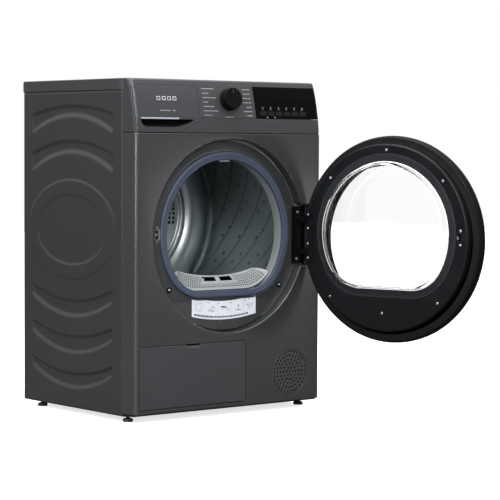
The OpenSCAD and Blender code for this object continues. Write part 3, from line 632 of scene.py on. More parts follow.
# ---------- control panel ----------

PROFILE = [(-249, 713.5), (-246, 749), (-235.6, 801), (-228, 827), (-224.5, 838), (-220, 843), (-216, 845)]


def fascia_y(z):
    """Front of the fascia at a height, smoothed between the measured points."""
    for (y0, z0), (y1, z1) in zip(PROFILE, PROFILE[1:]):
        if z <= z1:
            return y0 + (y1 - y0) * (z - z0) / (z1 - z0)
    return PROFILE[-1][0]


def smooth_y(z):
    return sum(fascia_y(max(713.5, min(842, z + d))) for d in (-9, -6, -3, 0, 3, 6, 9)) / 7


def full_row(z):
    """Points along the fascia at one height, from the left side seam round the front to the right one."""
    inner = HALF_W - CORNER_R
    front = smooth_y(z)
    back = SIDE_SEAM_Y - 0.3 if z < LID_Z else LID_FRONT_Y
    half = [(inner * i / 40, front, z) for i in range(41)]
    half += [(inner + CORNER_R * math.sin(t), front + CORNER_R * (1 - math.cos(t)), z)
             for t in (math.radians(7.5 * i) for i in range(1, 13))]
    start = front + CORNER_R
    half += [(HALF_W, start + (back - start) * i / 4, z) for i in range(1, 5)]
    return [(-x, y, zz) for x, y, zz in reversed(half[1:])] + half


def fascia_row(z, x0, x1):
    """The part of the full row between two X values; a value beyond the cabinet keeps that whole end."""
    row = full_row(z)
    out = []
    for a, b in zip(row, row[1:]):
        if a[0] < x0 < b[0]:
            t = (x0 - a[0]) / (b[0] - a[0])
            out.append((x0, a[1] + (b[1] - a[1]) * t, z))
        if x0 <= a[0] <= x1:
            out.append(a)
        if a[0] < x1 < b[0]:
            t = (x1 - a[0]) / (b[0] - a[0])
            out.append((x1, a[1] + (b[1] - a[1]) * t, z))
    if row[-1][0] <= x1:
        out.append(row[-1])
    return out


def same_count(row, n):
    """Resamples a row of points to n points, ends kept."""
    lengths = [0.0]
    for a, b in zip(row, row[1:]):
        lengths.append(lengths[-1] + math.dist(a, b))
    out, i = [], 0
    for k in range(n):
        want = lengths[-1] * k / (n - 1)
        while i < len(row) - 2 and lengths[i + 1] < want:
            i += 1
        t = (want - lengths[i]) / max(1e-9, lengths[i + 1] - lengths[i])
        out.append(tuple(row[i][j] + (row[i + 1][j] - row[i][j]) * min(1, t) for j in range(3)))
    return out


def heights(z0, z1, breaks=(), step=3.0):
    """Heights from z0 to z1 no further apart than step, with the breaks among them."""
    stops = [z0] + [b for b in breaks if z0 < b < z1] + [z1]
    out = []
    for a, b in zip(stops, stops[1:]):
        n = max(1, math.ceil((b - a) / step))
        out += [a + (b - a) * i / n for i in range(n)]
    return out + [z1]


def skin_patch(s, z0, z1, left, right, n, breaks=(), step=3.0):
    """Part of the fascia's skin between two edges given as functions of height."""
    return s.rows([same_count(fascia_row(z, left(z), right(z)), n) for z in heights(z0, z1, breaks, step)],
                  closed=False)


def between(points):
    """Function of height that runs straight between points of height and X."""
    def at(z):
        for (za, xa), (zb, xb) in zip(points, points[1:]):
            if z <= zb:
                return xa + (xb - xa) * (z - za) / (zb - za)
        return points[-1][1]
    return at


DRAWER_RIGHT = between([(714, -168), (741, -101), (750, -97.5), (831, -94.3)])
DRAWER_LEFT = -293.5
GRIP_RIGHT = between([(726, -180), (729, -158), (737, -128), (745.5, -113)])
GRIP_LEFT = between([(726, -262), (731, -275), (745.5, -281)])
PANEL_LEFT = between([(750, -95.5), (831, -92.3)])
PANEL_RIGHT = 83.0
END_X = 400.0


def fascia():
    """Frame of the fascia: the strip below the panels, the strip above them and the ends."""
    s = Shape()
    seam = 0.6
    skin_patch(s, 713.5, 741, lambda z: DRAWER_RIGHT(max(714, z)) + seam, lambda z: END_X, 80)
    skin_patch(s, 741, 750 - seam, lambda z: DRAWER_RIGHT(z) + seam, lambda z: END_X, 80)
    skin_patch(s, 713.5, 831.4, lambda z: -END_X, lambda z: DRAWER_LEFT - seam, 16, (714, 741, 750 - seam))
    skin_patch(s, 750 - seam, 831.4, lambda z: DRAWER_RIGHT(z) + seam, lambda z: PANEL_LEFT(z) - 0.2, 3)
    top = [fascia_row(z, -END_X, END_X) for z in heights(831.4, 841, (), 2.4)]
    top = [same_count(r, 110) for r in top]
    last = top[-1]
    for drop, push in ((842.9, 1.6), (844.3, 3.6), (845, 6.4), (845, 12), (845, 18.5)):
        row = []
        for x, y, z in last:
            edge = min(1.0, max(0.0, (HALF_W - abs(x)) / 6))
            inwards = max(0.0, (drop - 842.9) * 0.5) * (1 - edge)
            row.append((x - math.copysign(inwards, x), min(y + push, LID_FRONT_Y), drop))
        top.append(row)
    s.rows(top, closed=False)
    s.piece("fascia_skin", PANEL, "cabinet", ["fascia_frame"], "anthracite_plastic", thick=2.6, bevel=0.35,
            bevel_angle=50)


def seam_shade_strip():
    """Black strip behind the seam between the fascia and the front panel: painted shade that darkens the gap.
    """
    s = Shape()
    left, right = wrap_columns()
    rows = [[(x - nx * d, y - ny * d, z) for x, y, nx, ny in left + right]
            for d, z in ((2.2, 706), (2.2, 719), (12, 719))]
    s.rows(rows, closed=False)
    # Black matte sheet standing in for the shade inside the seam.
    s.piece("seam_shade_strip", BLACK_MATTE, "cabinet", (), "black_matte", thick=1.0)


def programme_panel():
    s = Shape()
    skin_patch(s, 750.1, 830.9, lambda z: PANEL_LEFT(z) + 0.3, lambda z: PANEL_RIGHT - 0.2, 34)
    s.piece("programme_skin", PANEL, "cabinet", ["programme_panel"], "anthracite_plastic", thick=2.0,
            bevel=0.3, bevel_angle=50)


def display():
    s = Shape()
    skin_patch(s, 750.1, 830.9, lambda z: PANEL_RIGHT + 0.5, lambda z: END_X, 50)
    s.piece("display_glass", BLACK_GLASS, "cabinet", ["display_window"], "black_glass", thick=2.0, bevel=0.3,
            bevel_angle=50)


def drawer():
    """Drawer front: the skin around the grip, and the grip's hollow behind it, coloured black as painted
    shade.
    """
    s = Shape()

    def left(_):
        return DRAWER_LEFT + 0.6

    def right(z):
        return DRAWER_RIGHT(z) - 0.6

    skin_patch(s, 714.2, 726, left, right, 60)
    skin_patch(s, 726, 745.5, left, GRIP_LEFT, 8, (731, 737))
    skin_patch(s, 726, 745.5, GRIP_RIGHT, right, 22, (729, 737, 741))
    skin_patch(s, 745.5, 830.6, left, right, 60, (750,))
    s.piece("drawer_skin", PANEL, "drawer", ["drawer_front"], "anthracite_plastic", thick=2.6, bevel=0.5,
            bevel_angle=50)
    # The hollow is black matte: painted shade inside the grip.
    hollow = Shape()
    rows = []
    for z in heights(726, 745.5, (729, 731, 737), 2.5):
        a, b, front = GRIP_LEFT(z) - 0.2, GRIP_RIGHT(z) + 0.2, smooth_y(z) + 1.4
        deep = 17 * smooth_step((z - 725.5) / 12)
        row = []
        for i in range(41):
            t = i / 40
            end = smooth_step(min(t, 1 - t) * 9)
            row.append((a + (b - a) * t, front + max(0.2, deep * end), z))
        rows.append(row)
    roof = [(x, y, 746.6) for x, y, z in rows[-1]]
    rows.append(roof)
    rows.append([(x, smooth_y(746) + 2.0, 746.6) for x, y, z in roof])
    hollow.rows(rows, closed=False)
    hollow.piece("grip_hollow", BLACK_MATTE, "drawer", (), "black_matte", thick=1.2, smooth=50)
    strip = Shape()
    outline = [(-247.5, 745.6), (-246.6, 745.4), (-243.4, 745.4), (-243.2, 749.0), (-246.9, 749.1),
               (-247.6, 748.4)]
    ends = [(-278.7, 0.6), (-278.2, 0), (-163.8, 0), (-163.3, 0.6)]
    middle_z = 747
    made = strip.rows([[(x, y + shrink * 0.4, z + math.copysign(0.4, middle_z - z) * shrink) for y,
                        z in outline] for x, shrink in ends])
    strip.close_ends(made[::-1])
    strip.piece("grip_bar", SILVER, "drawer", ["grip_strip"], "silver_trim", smooth=30)


def marks(name, bars, material, body, lift=0.12, slot=None):
    """Thin printed bars on the fascia: each is X from, X to, Z and height."""
    s = Shape()
    for x0, x1, z, h in bars:
        rows = []
        for zz in (z - h / 2, z, z + h / 2):
            y = smooth_y(zz)
            rows.append([(x0, y - lift, zz), (x1, y - lift, zz)])
        made = s.rows(rows, closed=False)
        back = s.rows([[(x, y + lift, zz) for x, y, zz in row] for row in rows], closed=False)
        for a, b in ((made[0], back[0]), (made[-1], back[-1])):
            s.faces.append((a[0], a[1], b[1], b[0]))
        for k in (0, 1):
            for a, b, c, d in zip(made, made[1:], back, back[1:]):
                s.faces.append((a[k], b[k], d[k], c[k]))
    return s.piece(name, material, body, (), slot, smooth=30)


def dashes(x0, x1, z, height, breaks):
    """A row of bars with small gaps that stands for a printed word without being one."""
    gap = 1.4
    shares = [(1.0, 0.55, 0.8, 0.4)[k % 4] for k in range(breaks + 1)]
    out, x = [], x0
    for share in shares:
        width = (x1 - x0 - gap * breaks) * share / sum(shares)
        out.append((x, x + width, z, height))
        x += width + gap
    return out


def word(x0, x1, z):
    """Bars for one printed name, about one bar to every 14 mm."""
    return dashes(x0, x1, z, 1.7, max(0, round((x1 - x0) / 14) - 1))


def printed_marks():
    """Programme marks beside the knob, their leader lines, and the generic badge on the drawer."""
    rows = (823, 811.5, 800.5, 789.5, 778.5, 767.5, 757)
    left_widths = (39, 20, 42, 15, 33, 46, 26)
    right_spans = ((48, 72), (49, 72), (46, 73), (47, 73), (56, 72), (45, 73), (54, 72))
    left_x = -82
    bars, lines = [], []
    for z, width, (x0, x1) in zip(rows, left_widths, right_spans):
        bars += word(left_x, left_x + width, z) + word(x0, x1, z)
        reach = 30 if 770 < z < 815 else 24
        if left_x + width + 3 < -reach - 4:
            lines.append((left_x + width + 3, -reach - 2, z, 0.4))
        lines.append((reach + 2, x0 - 3, z, 0.4))
    bars += dashes(-16, 10, 752.6, 1.6, 1)
    marks("programme_marks", bars, INK_MID, "cabinet")
    marks("programme_lines", lines, INK_DIM, "cabinet", 0.1)
    badge = []
    for k in range(4):
        x, low, high = -225 + 16.4 * k, 792.8, 800.8
        badge += [(x, x + 10.8, low, 1.5), (x, x + 10.8, high, 1.5)]
        badge += [(x, x + 1.6, (low + high) / 2, high - low),
                  (x + 9.2, x + 10.8, (low + high) / 2, high - low)]
    marks("drawer_badge", badge, INK_LIGHT, "drawer")
    marks("drawer_dashes", dashes(-218, -188, 767, 1.7, 2) + dashes(-180, -172, 767, 1.7, 0), INK_MID,
          "drawer")


def touch_marks():
    """Six faint touch fields on the display, a small sign above each, and two lit dots."""
    fields, signs = [], []
    for k in range(6):
        x = 98.4 + 26.2 * k
        fields.append((x, x + 21.2, 763.6, 10.6))
        c = x + 10.2
        signs += [(c - 3.6, c + 3.6, 778.6, 1.0), (c - 2.4 - (k % 2), c + 2.4 + (k % 3) * 0.5, 773.6, 1.0),
                  (c - 0.6, c + 0.6, 776.2, 5.4 - (k % 3) * 0.6)]
    marks("touch_fields", fields, FIELD, "cabinet", 0.08)
    marks("touch_signs", signs, INK_GREY, "cabinet", 0.12)
    marks("status_dots", [(120.2, 122, 754, 1.7), (145.4, 147.2, 754, 1.7)], LENS, "cabinet", 0.12)


def knob():
    """Cylindrical knob with a skirt, a rounded face and a pointer groove."""
    place = Matrix.Translation((-1.5, -236.9, 796)) @ Matrix.Rotation(math.radians(78.8), 4, "X")
    profile = [(0, 24.2), (22.0, 24.2), (23.6, 24.8), (25.0, 24.9), (26.1, 24.3), (26.6, 23.2), (27.3, 8),
               (27.5, 5.2), (27.3, 4.7), (27.0, 4.5), (27.4, 4.3), (28.0, 3.7), (28.0, 1.2), (27.4, 0.7),
               (0, 0.7)]
    s = Shape()
    steps, flute = 96, 0.18
    angles = [2 * math.pi * i / steps for i in range(steps)]
    rows = []
    for r, h in profile:
        is_grip = 6 < h < 22 and r > 26
        radii = [r - flute if is_grip and i % 2 else r for i in range(steps)]
        rows.append([(rr * math.cos(a), rr * math.sin(a), h) for rr, a in zip(radii, angles)])
    s.rows(rows)
    s.piece("knob_body", BLACK_MATTE, "knob", ["selector_knob"], "black_matte", turn=place, smooth=35)
    p = Shape()
    made = p.rows([[(x, y, h) for x, y in soft_rect(-0.7, 13, 0.7, 23.2, 0.69, 4)] for h in (24.0, 24.55)])
    p.cap([made[1]])
    p.cap([made[0]], flip=True)
    p.piece("knob_pointer", INK_DIM, "knob", (), None, turn=place, smooth=30)


# ---------- port, gasket and label ----------

def gasket():
    """Soft lip around the port with a bead on its inner edge."""
    s = Shape()
    profile = [(19, FLOOR_Y - 0.1), (19.0, -228.6), (18.2, -230.3), (16.2, -231.2), (12, -231.35),
               (8, -230.6), (5.2, -229.9), (3.0, -230.2), (1.2, -230.0), (0.2, -228.8), (0, -227),
               (0, -222.2), (13.8, -222.2), (13.8, FLOOR_Y - 0.1)]
    made = s.rings(lambda d: port(PORT_R + d, PORT_Z, PORT_FLAT - d * 0.84), profile)
    s.strip(made[-1], made[0])
    s.piece("door_seal", GASKET, "cabinet", ["door_gasket"], "gasket_rubber", smooth=60)


LABEL_X, LABEL_Z, LABEL_R, LABEL_W = -3, 730, 488, 206
LABEL_LEFT = LABEL_X - LABEL_W / 2


def on_label(x, v):
    """Place on the label, a strip bent round a far centre: X, and distance above its lower edge."""
    return (x, LABEL_Z - math.sqrt((LABEL_R - v) ** 2 - (x - LABEL_X) ** 2))


def stroke(ink, x0, v0, x1, v1, width):
    """A printed line on the label."""
    length = math.hypot(x1 - x0, v1 - v0)
    n = max(2, round(length / 3))
    nx, nv = -(v1 - v0) / length * width / 2, (x1 - x0) / length * width / 2
    line = [(x0 + (x1 - x0) * i / n, v0 + (v1 - v0) * i / n) for i in range(n + 1)]
    low = [on_label(x - nx, v - nv) for x, v in line]
    high = [on_label(x + nx, v + nv) for x, v in line]
    ink.plate(low + high[::-1], [], FLOOR_Y - 0.52, FLOOR_Y - 0.42, edge=0.0)


def stroke_box(ink, x, v, w, h, width):
    corners = ((x, v), (x + w, v), (x + w, v + h), (x, v + h))
    for a, b in ((0, 1), (3, 2), (0, 3), (1, 2)):
        stroke(ink, *corners[a], *corners[b], width)


def label():
    """Pale label with four simple pictures and a row of bars along its foot; nothing on it can be read."""
    s = Shape()
    xs = [LABEL_LEFT + LABEL_W * i / 40 for i in range(41)]
    band = [on_label(x, 0) for x in xs] + [on_label(x, 46.8) for x in reversed(xs)]
    s.plate(band, [], FLOOR_Y - 0.45, FLOOR_Y - 0.1, edge=0.15)
    s.piece("label_sheet", FILM, "cabinet", ["instruction_label"], "label_film", smooth=30)
    ink = Shape()
    stroke_box(ink, -96, 17, 22, 20, 0.5)
    stroke_box(ink, -92, 21, 14, 12, 0.4)
    for k in range(1, 5):
        x = LABEL_LEFT + LABEL_W / 5 * k
        stroke(ink, x, 12, x, 44, 0.3)
    water = ((-56, 22, -34, 20, 1.4), (-52, 26, -36, 24.5, 0.8), (-48, 31, -30, 30, 0.8),
             (-40, 34, -36, 27, 1.2))
    filter_out = ((-14, 32, 4, 31, 3.4), (2, 31, 12, 21, 1.2), (-10, 29, -10, 25, 1.0), (-4, 29, -4, 25, 1.0))
    arrow = ((34, 20, 52, 19.5, 1.8), (43, 20, 43, 34, 1.0), (39, 29, 43, 33, 1.0), (47, 29, 43, 33, 1.0))
    drops = ((70, 30, 78, 24, 1.6), (78, 33, 82, 27, 1.2), (84, 22, 92, 30, 1.6), (74, 20, 80, 18, 1.2))
    for line in water + filter_out + arrow + drops:
        stroke(ink, *line)
    for x in (-56, -22, 18, 62, 76):
        stroke(ink, x, 41, x + 3, 41, 2.2)
    bold = (5, 4, 5, 3.4, 5, 4, 5, 4.4)
    plain = (8, 3, 5, 4, 6, 3.4, 5, 4, 5, 3, 6, 4, 5, 3.6, 5, 4, 5, 3, 6)
    x = -99
    for width, height in [(w, 5.6) for w in bold] + [(w, 4.6) for w in plain]:
        stroke(ink, x, 6.6, x + width, 6.6, height)
        x += width + 1.9
    ink.piece("label_print", INK, "cabinet", (), None, smooth=30)


def bumpers():
    """Two rubber stops with a metal pin in the middle."""
    s, pins = Shape(), Shape()
    for side in (-1, 1):
        profile = [(8.0, -0.1), (8.0, -1.2), (7.2, -1.9), (5.4, -2.1), (4.4, -1.6), (4.4, -0.9), (0, -0.9),
                   (0, -0.1)]
        s.lathe([(r, FLOOR_Y + y) for r, y in profile], BUMPER_X * side, BUMPER_Z, 40)
        head = [(0, -0.95), (3.5, -0.95), (3.5, -2.4), (2.9, -3.3), (1.6, -3.9), (0, -4.0)]
        pins.lathe([(r, FLOOR_Y + y) for r, y in head], BUMPER_X * side, BUMPER_Z, 28)
    s.piece("stop_pads", BLACK_MATTE, "cabinet", ["door_bumpers"], "dark_grey_plastic", smooth=35)
    pins.piece("stop_pins", ZINC, "cabinet", (), "zinc", smooth=35)


def screw(s, x, z, y, r, h, cross=45.0):
    """Domed screw head with a cross recess, seen from -Y."""
    c, sn = math.cos(math.radians(cross)), math.sin(math.radians(cross))
    rings = [(r, 0.0), (r, -h * 0.3), (r * 0.93, -h * 0.62), (r * 0.78, -h * 0.86), (r * 0.6, -h * 0.98)]
    rings += [(r * t, -h) for t in (0.48, 0.38, 0.28, 0.2, 0.12)]
    n = 32
    rows = []
    for rr, dy in rings:
        row = []
        for i in range(n):
            a = 2 * math.pi * i / n
            px, pz = rr * math.cos(a), rr * math.sin(a)
            u, v = px * c + pz * sn, -px * sn + pz * c
            inside = rr < r * 0.55 and min(abs(u), abs(v)) < r * 0.14
            row.append((x + px, y + dy + (h * 0.7 if inside else 0), z + pz))
        rows.append(row)
    made = s.rows(rows)
    middle = s.add([(x, y - h * 0.3, z)])[0]
    base = s.add([(x, y, z)])[0]
    for i in range(n):
        s.faces.append((made[-1][i], made[-1][(i + 1) % n], middle))
        s.faces.append((made[0][(i + 1) % n], made[0][i], base))


def drum_light():
    """Clear lens bar in a slim holder at the top of the port."""
    s = Shape()
    rows = []
    for x, d in ((-6, 0.8), (-5.2, 0), (23.2, 0), (24, 0.8)):
        rows.append([(x, -212.8 + d, 641.4 + d), (x, -212.0, 640.7 + d), (x, -206.9, 640.7 + d),
                     (x, -206 - d, 641.5), (x, -206 - d, 644.4), (x, -212.8 + d, 644.4)])
    s.close_ends(s.rows(rows))
    s.piece("light_bar", LENS, "cabinet", ["drum_light"], "light_lens", smooth=30)


def latch():
    """Keeper plate with its dark slot, a pale lip at the slot's right and two rivets."""
    s = Shape()
    slot = soft_rect(*SLOT, 0.8)
    s.plate(soft_rect(-224, 441, -206, 481, 1.2), [slot], FLOOR_Y - 0.9, FLOOR_Y - 0.1, edge=0.5,
            hole_edge=0.3)
    s.piece("keeper_plate", STEEL, "cabinet", ["door_latch"], "anthracite_steel", smooth=40)
    trim = Shape()
    inner = soft_rect(-220.6, 449.6, -211.0, 472.4, 0.8)
    trim.plate(soft_rect(-222.4, 447.4, -206.4, 474.6, 1.0), [inner], FLOOR_Y - 1.6, FLOOR_Y - 0.95, edge=0.4,
               hole_edge=0.2)
    trim.piece("keeper_trim", DARK_GREY_LIGHT, "cabinet", (), "grey_plastic", smooth=40)
    lip = Shape()
    lip.plate(soft_rect(-211.2, 450, -209.2, 472, 0.5), [], FLOOR_Y - 1.3, FLOOR_Y + 0.8, edge=0.4)
    lip.plate(soft_rect(-219.4, 457.6, -215.6, 464.6, 0.8), [], FLOOR_Y - 1.2, FLOOR_Y + 0.8, edge=0.5)
    lip.piece("keeper_lip", ZINC, "cabinet", (), "zinc", smooth=40)
    dark = Shape()
    dark.plate(soft_rect(-220.8, 449.2, -209.2, 472.8, 0.6), [], FLOOR_Y + 0.9, FLOOR_Y + 1.6, edge=0.2)
    dark.piece("keeper_shadow", VOID, "cabinet", (), "black_matte", smooth=40)
    rivets = Shape()
    for z in (442.6, 479.4):
        rivets.lathe([(0, FLOOR_Y - 1.9), (1.0, FLOOR_Y - 1.8), (1.7, FLOOR_Y - 1.2), (1.7, FLOOR_Y - 0.6),
                      (0, FLOOR_Y - 0.6)], SLOT_X, z, 20)
    rivets.piece("keeper_rivets", ZINC, "cabinet", (), "zinc", smooth=35)


def bracket_screws():
    """The two screws of the hinge bracket that show beside the leaf."""
    s = Shape()
    for x, z, turn in ((238, 509, 20), (235, 388, 70)):
        screw(s, x, z, FLOOR_Y - 2.2, 4.0, 2.0, turn)
    s.piece("bracket_screw_heads", ZINC, "cabinet", ["bracket_screws"], "zinc", smooth=35)


# ---------- door ----------

def door_ring():
    """Glossy outer ring, turned, with the pocket for the hinge cut into it."""
    profile = [(197, -292.4), (197.6, -293), (225, -293.9), (238, -294), (245, -292.6), (250.5, -288.6),
               (255.5, -283.6), (259, -278.4), (260.7, -273), (261, -268), (260.4, -261), (257.6, -255.2),
               (255, -253), (238.6, -253), (238.6, -256.6), (250, -258.2), (254.6, -262), (256.6, -270),
               (254, -277), (247.6, -283.4), (237.6, -288.6), (205, -288), (205, -268), (201.2, -268),
               (201.2, -287.8), (197, -287.8)]
    s = Shape().lathe(profile, 0, RING_Z, 180)
    obj = s.piece("door_ring", BLACK, "door", ["door_outer_frame"], "black_plastic", door=True, smooth=32)
    cutter = Shape().box((222, -286, 397), (272, -245, 501))
    tool = cutter.piece("ring_cutter", BLACK, "door", door=True)
    cut_away(obj, tool)


def cut_away(obj, tool):
    """Subtracts tool from obj and removes the tool."""
    mod = obj.modifiers.new("cut", "BOOLEAN")
    mod.operation = "DIFFERENCE"
    mod.object = tool
    mod.solver = "EXACT"
    bpy.context.view_layer.update()
    graph = bpy.context.evaluated_depsgraph_get()
    mesh = bpy.data.meshes.new_from_object(obj.evaluated_get(graph))
    obj.modifiers.clear()
    obj.data = mesh
    bpy.data.objects.remove(tool)


def inner_frame():
    """Face of the open door: a round plate with the window port and its stepped seat."""
    s = Shape()
    outer = circle(0, INNER_Z, INNER_R, 180)
    y = PLATE_Y
    edge = [(0, -253), (0, y - 5)] + [(5 - 5 * math.cos(a), y - 5 + 5 * math.sin(a))
                                      for a in (math.pi / 2 * i / 6 for i in range(1, 7))]
    wall = s.rings(lambda d: grow(outer, -d), edge)
    seat = s.rings(lambda d: port(204 + d, GLASS_Z, 301 - d),
                   ((0.9, y), (0.25, y - 0.25), (0, y - 0.9), (0, y - 3.4)))
    hole = s.rings(lambda r: port(r, GLASS_Z, 319), ((184, y - 3.4), (184, y - 5.5)))
    z0, z1 = 383, 516
    leaf = s.rings(lambda x: [(x, z0), (229, z0), (229, z1), (x, z1)], ((206.5, y), (206.5, y - 2.2)))
    s.cap([leaf[-1]])
    hook = s.rings(lambda d: grow(soft_rect(-217, 450, -208, 466, 1), d),
                   ((0.5, y), (0, y - 0.5), (0, y - 8)))
    s.cap([hook[-1]])
    s.cap([wall[-1], seat[0], leaf[0], hook[0]])
    s.cap([seat[-1], hole[0]])
    s.piece("door_face", FACE, "door", ["door_inner_frame"], "black_plastic", door=True, smooth=35)
    back = Shape()
    inner = back.rings(lambda r: circle(0, INNER_Z, r, 180),
                       ((INNER_R, -253), (INNER_R - 3, -253), (INNER_R - 3, y - 5.5)))
    rim = back.rings(lambda r: port(r, GLASS_Z, 319), [(184, y - 5.5)])
    back.cap([inner[-1], rim[0]])
    back.piece("door_face_back", BLACK, "door", (), "black_plastic", door=True, smooth=35)


def bowl_ring():
    """Dark grey ring that holds the glass bowl, with a fine step along its middle."""
    s = Shape()
    y = PLATE_Y
    profile = [(202.6, 302.4, y - 1.1), (202.6, 302.4, y - 0.5), (202.1, 302.9, y - 0.1), (199, 306, y - 0.1),
               (198.4, 306.6, y - 0.45), (197.8, 307.2, y - 0.1), (184, 321, y + 0.2),
               (182.6, 322.4, y + 0.0), (182.2, 322.8, y - 0.5), (182.2, 322.8, y - 1.1)]
    made = s.rows([[(x, yy, z) for x, z in port(r, GLASS_Z, f)] for r, f, yy in profile])
    s.strip(made[-1], made[0])
    s.piece("glass_ring", DARK_GREY, "door", ["bowl_ring"], "dark_grey_plastic", door=True, smooth=35)


def bowl():
    """Glass dish: flange, rounded shoulder, side wall and a slightly domed bottom."""
    outer = [(202, 303, -1.3), (202, 303, -3.2), (181, 324, -3.2), (177, 328, -3.2), (176.4, 328.6, -2),
             (174.5, 330.5, 11.4), (172, 333, 13.9), (168, 337, 14.9), (140, 362, 15.2), (90, 402, 15.4)]
    front = [(202, 303, -1.3), (183.5, 321.5, -1.3), (181, 324, -0.4), (180.2, 324.8, 1.5),
             (178.4, 326.6, 13.2), (175.2, 329.8, 17.0), (170, 335, 18.1), (140, 362, 18.6), (90, 402, 18.8)]
    s = Shape()
    for rings, inwards in ((front, False), (outer, True)):
        made = s.rows([[(x, PLATE_Y + dy, z) for x, z in port(r, GLASS_Z, flat)] for r, flat, dy in rings])
        s.cap([made[-1]], flip=inwards)
    s.piece("glass_bowl", GLASS, "door", ["door_bowl"], "clear_glass", door=True, smooth=50)


def window():
    """Flat outer pane with ground edges."""
    s = Shape().plate(circle(0, RING_Z, 200.4, 144), [], -287.5, -283.5, edge=0.6, back_edge=0.6)
    s.piece("outer_pane", GLASS, "door", ["door_window"], "clear_glass", door=True, smooth=35)


def door_screws():
    """Countersunk heads on the face, and four on the hinge leaf."""
    s = Shape()
    places = [(-2, 672), (163, 600), (-165, 597), (162, 298), (-152, 295), (7, 262), (-215, 475.2),
              (-215, 440.5)]
    flip = Matrix.Translation((0, 2 * PLATE_Y, 0)) @ Matrix.Scale(-1, 4, Vector((0, 1, 0)))
    for k, (x, z) in enumerate(places):
        screw(s, x, z, PLATE_Y - 0.05, 3.6, 1.35, 15 + 37 * k)
    for k, z in enumerate((505, 469.5, 430.5, 394)):
        screw(s, 230.8, z, PLATE_Y - 0.05, 3.2, 1.3, 50 + 31 * k)
    s.piece("door_screw_heads", ZINC, "door", ["door_screws"], "zinc", door=True, turn=flip, smooth=35)


# ---------- drum ----------

DRUM_R = 277.0
DRUM_Y0, DRUM_Y1 = -184, 200
DRUM_ROUND = 2 * math.pi * DRUM_R


def dent(arc_mm, y):
    """Depth of the pressing at a place on the drum wall: rows of dimples in pairs, then slanting grooves."""
    row_gap, dot_gap, groove_gap = DRUM_ROUND / 24, 73.5, DRUM_ROUND / 16
    dot_r, dot_depth, groove_half, groove_depth, slant, slant_length = 5.2, 2.6, 3.4, 1.2, 1.55, 1.84
    depth = 0.0
    for turn, first, last in ((7.0, 26.0, 2), (1.9, 51.0, 1)):
        place = (arc_mm - math.radians(turn) * DRUM_R) / row_gap
        across = (place - round(place)) * row_gap
        j = max(-2, min(last, round((y - first) / dot_gap)))
        t = math.hypot(across, y - first - dot_gap * j) / dot_r
        if t < 1:
            depth = max(depth, dot_depth * (1 - t * t) ** 1.2)
    if depth:
        return depth
    t = (arc_mm + slant * y) / groove_gap
    off = abs(t - round(t)) * groove_gap / slant_length
    return groove_depth * (1 - off / groove_half) if off < groove_half else 0.0


def drum_shell():
    """Drum mantle with its pressings, darker in their hollows as painted shade, and a rolled front lip."""
    around, along = 720, 170
    s = Shape()
    rows = []
    for j in range(along + 1):
        y = DRUM_Y0 + (DRUM_Y1 - DRUM_Y0) * j / along
        row = []
        for i in range(around):
            a = 2 * math.pi * i / around
            r = DRUM_R + dent(DRUM_ROUND * i / around, y)
            row.append((r * math.cos(a), y, DRUM_Z + r * math.sin(a)))
        rows.append(row)
    mantle = s.rows(rows)
    lip = [(264.5, DRUM_Y0 + 1.6), (264.0, DRUM_Y0 + 0.6), (265, DRUM_Y0), (275, DRUM_Y0)]
    made = s.rows(turned(lip, DRUM_Z, around))
    s.strip(made[-1], mantle[0])
    s.faces = [f[::-1] for f in s.faces]
    obj = s.piece("drum_mantle", DRUM_COAT, "drum", ["drum_shell"], "drum_coat", thick=0.9, smooth=60)
    # Faces pressed deeper than 0.45 mm get the darker drum colour: painted shade in the dimples and grooves.
    obj.data.materials.append(DRUM_DENT_SHADE)
    for face in obj.data.polygons:
        x, y, z = face.center / MM
        if y > DRUM_Y0 + 2 and math.hypot(x, z - DRUM_Z) > DRUM_R + 0.45:
            face.material_index = 1


def rear_wall():
    """Pressed steel rear wall with rounded rings and six groups of air holes, with a black disc behind the
    holes as painted shade.
    """
    s = Shape()
    profile = [(276.6, 188), (270, 187.8), (266.4, 186.6), (264.4, 184.2), (261.5, 180.6), (256, 177.2),
               (247, 174.2), (236, 172.2), (224, 171.2), (212, 171.6), (202, 173.4), (194, 176.2),
               (188, 179.6), (184.6, 182.6), (182, 183.2), (179.6, 181.4), (177.4, 178), (173.6, 176),
               (169, 176), (165.4, 178), (162.6, 182), (160, 183.8), (157, 184.2)]
    made = s.rows(turned(profile, DRUM_Z, 180))
    inner = [(110, 183.8), (107.6, 182), (104, 180.3), (98, 180), (72, 180), (66.6, 180.6), (63.4, 183.6),
             (60, 185.8), (56, 186)]
    low = s.rows(turned(inner, DRUM_Z, 180))
    s.cap([low[-1]], flip=True)
    holes = []
    for group in range(6):
        for k in range(-2, 3):
            for r in (120, 133, 146):
                a = math.radians(60 * group + k * 720 / r)
                cx, cz = r * math.cos(a), DRUM_Z + r * math.sin(a)
                rims = s.rings(lambda r_hole: circle(cx, cz, r_hole, 14),
                               ((4.9, 184.1), (4.4, 184.5), (4.2, 186.4)))
                holes.append(rims[0])
    s.cap([made[-1], low[0]] + holes)
    s.piece("rear_disc", STAINLESS, "drum", ["drum_rear_wall"], "stainless", smooth=60)
    # Black disc just behind the air holes: painted shade seen through them.
    hole_shade = Shape()
    hole_shade.lathe([(60, 186.8), (154, 186.8), (154, 187.6), (60, 187.6)], 0, DRUM_Z, 96)
    hole_shade.piece("rear_hole_shade", BLACK_MATTE, "drum", (), "black_matte", smooth=40)


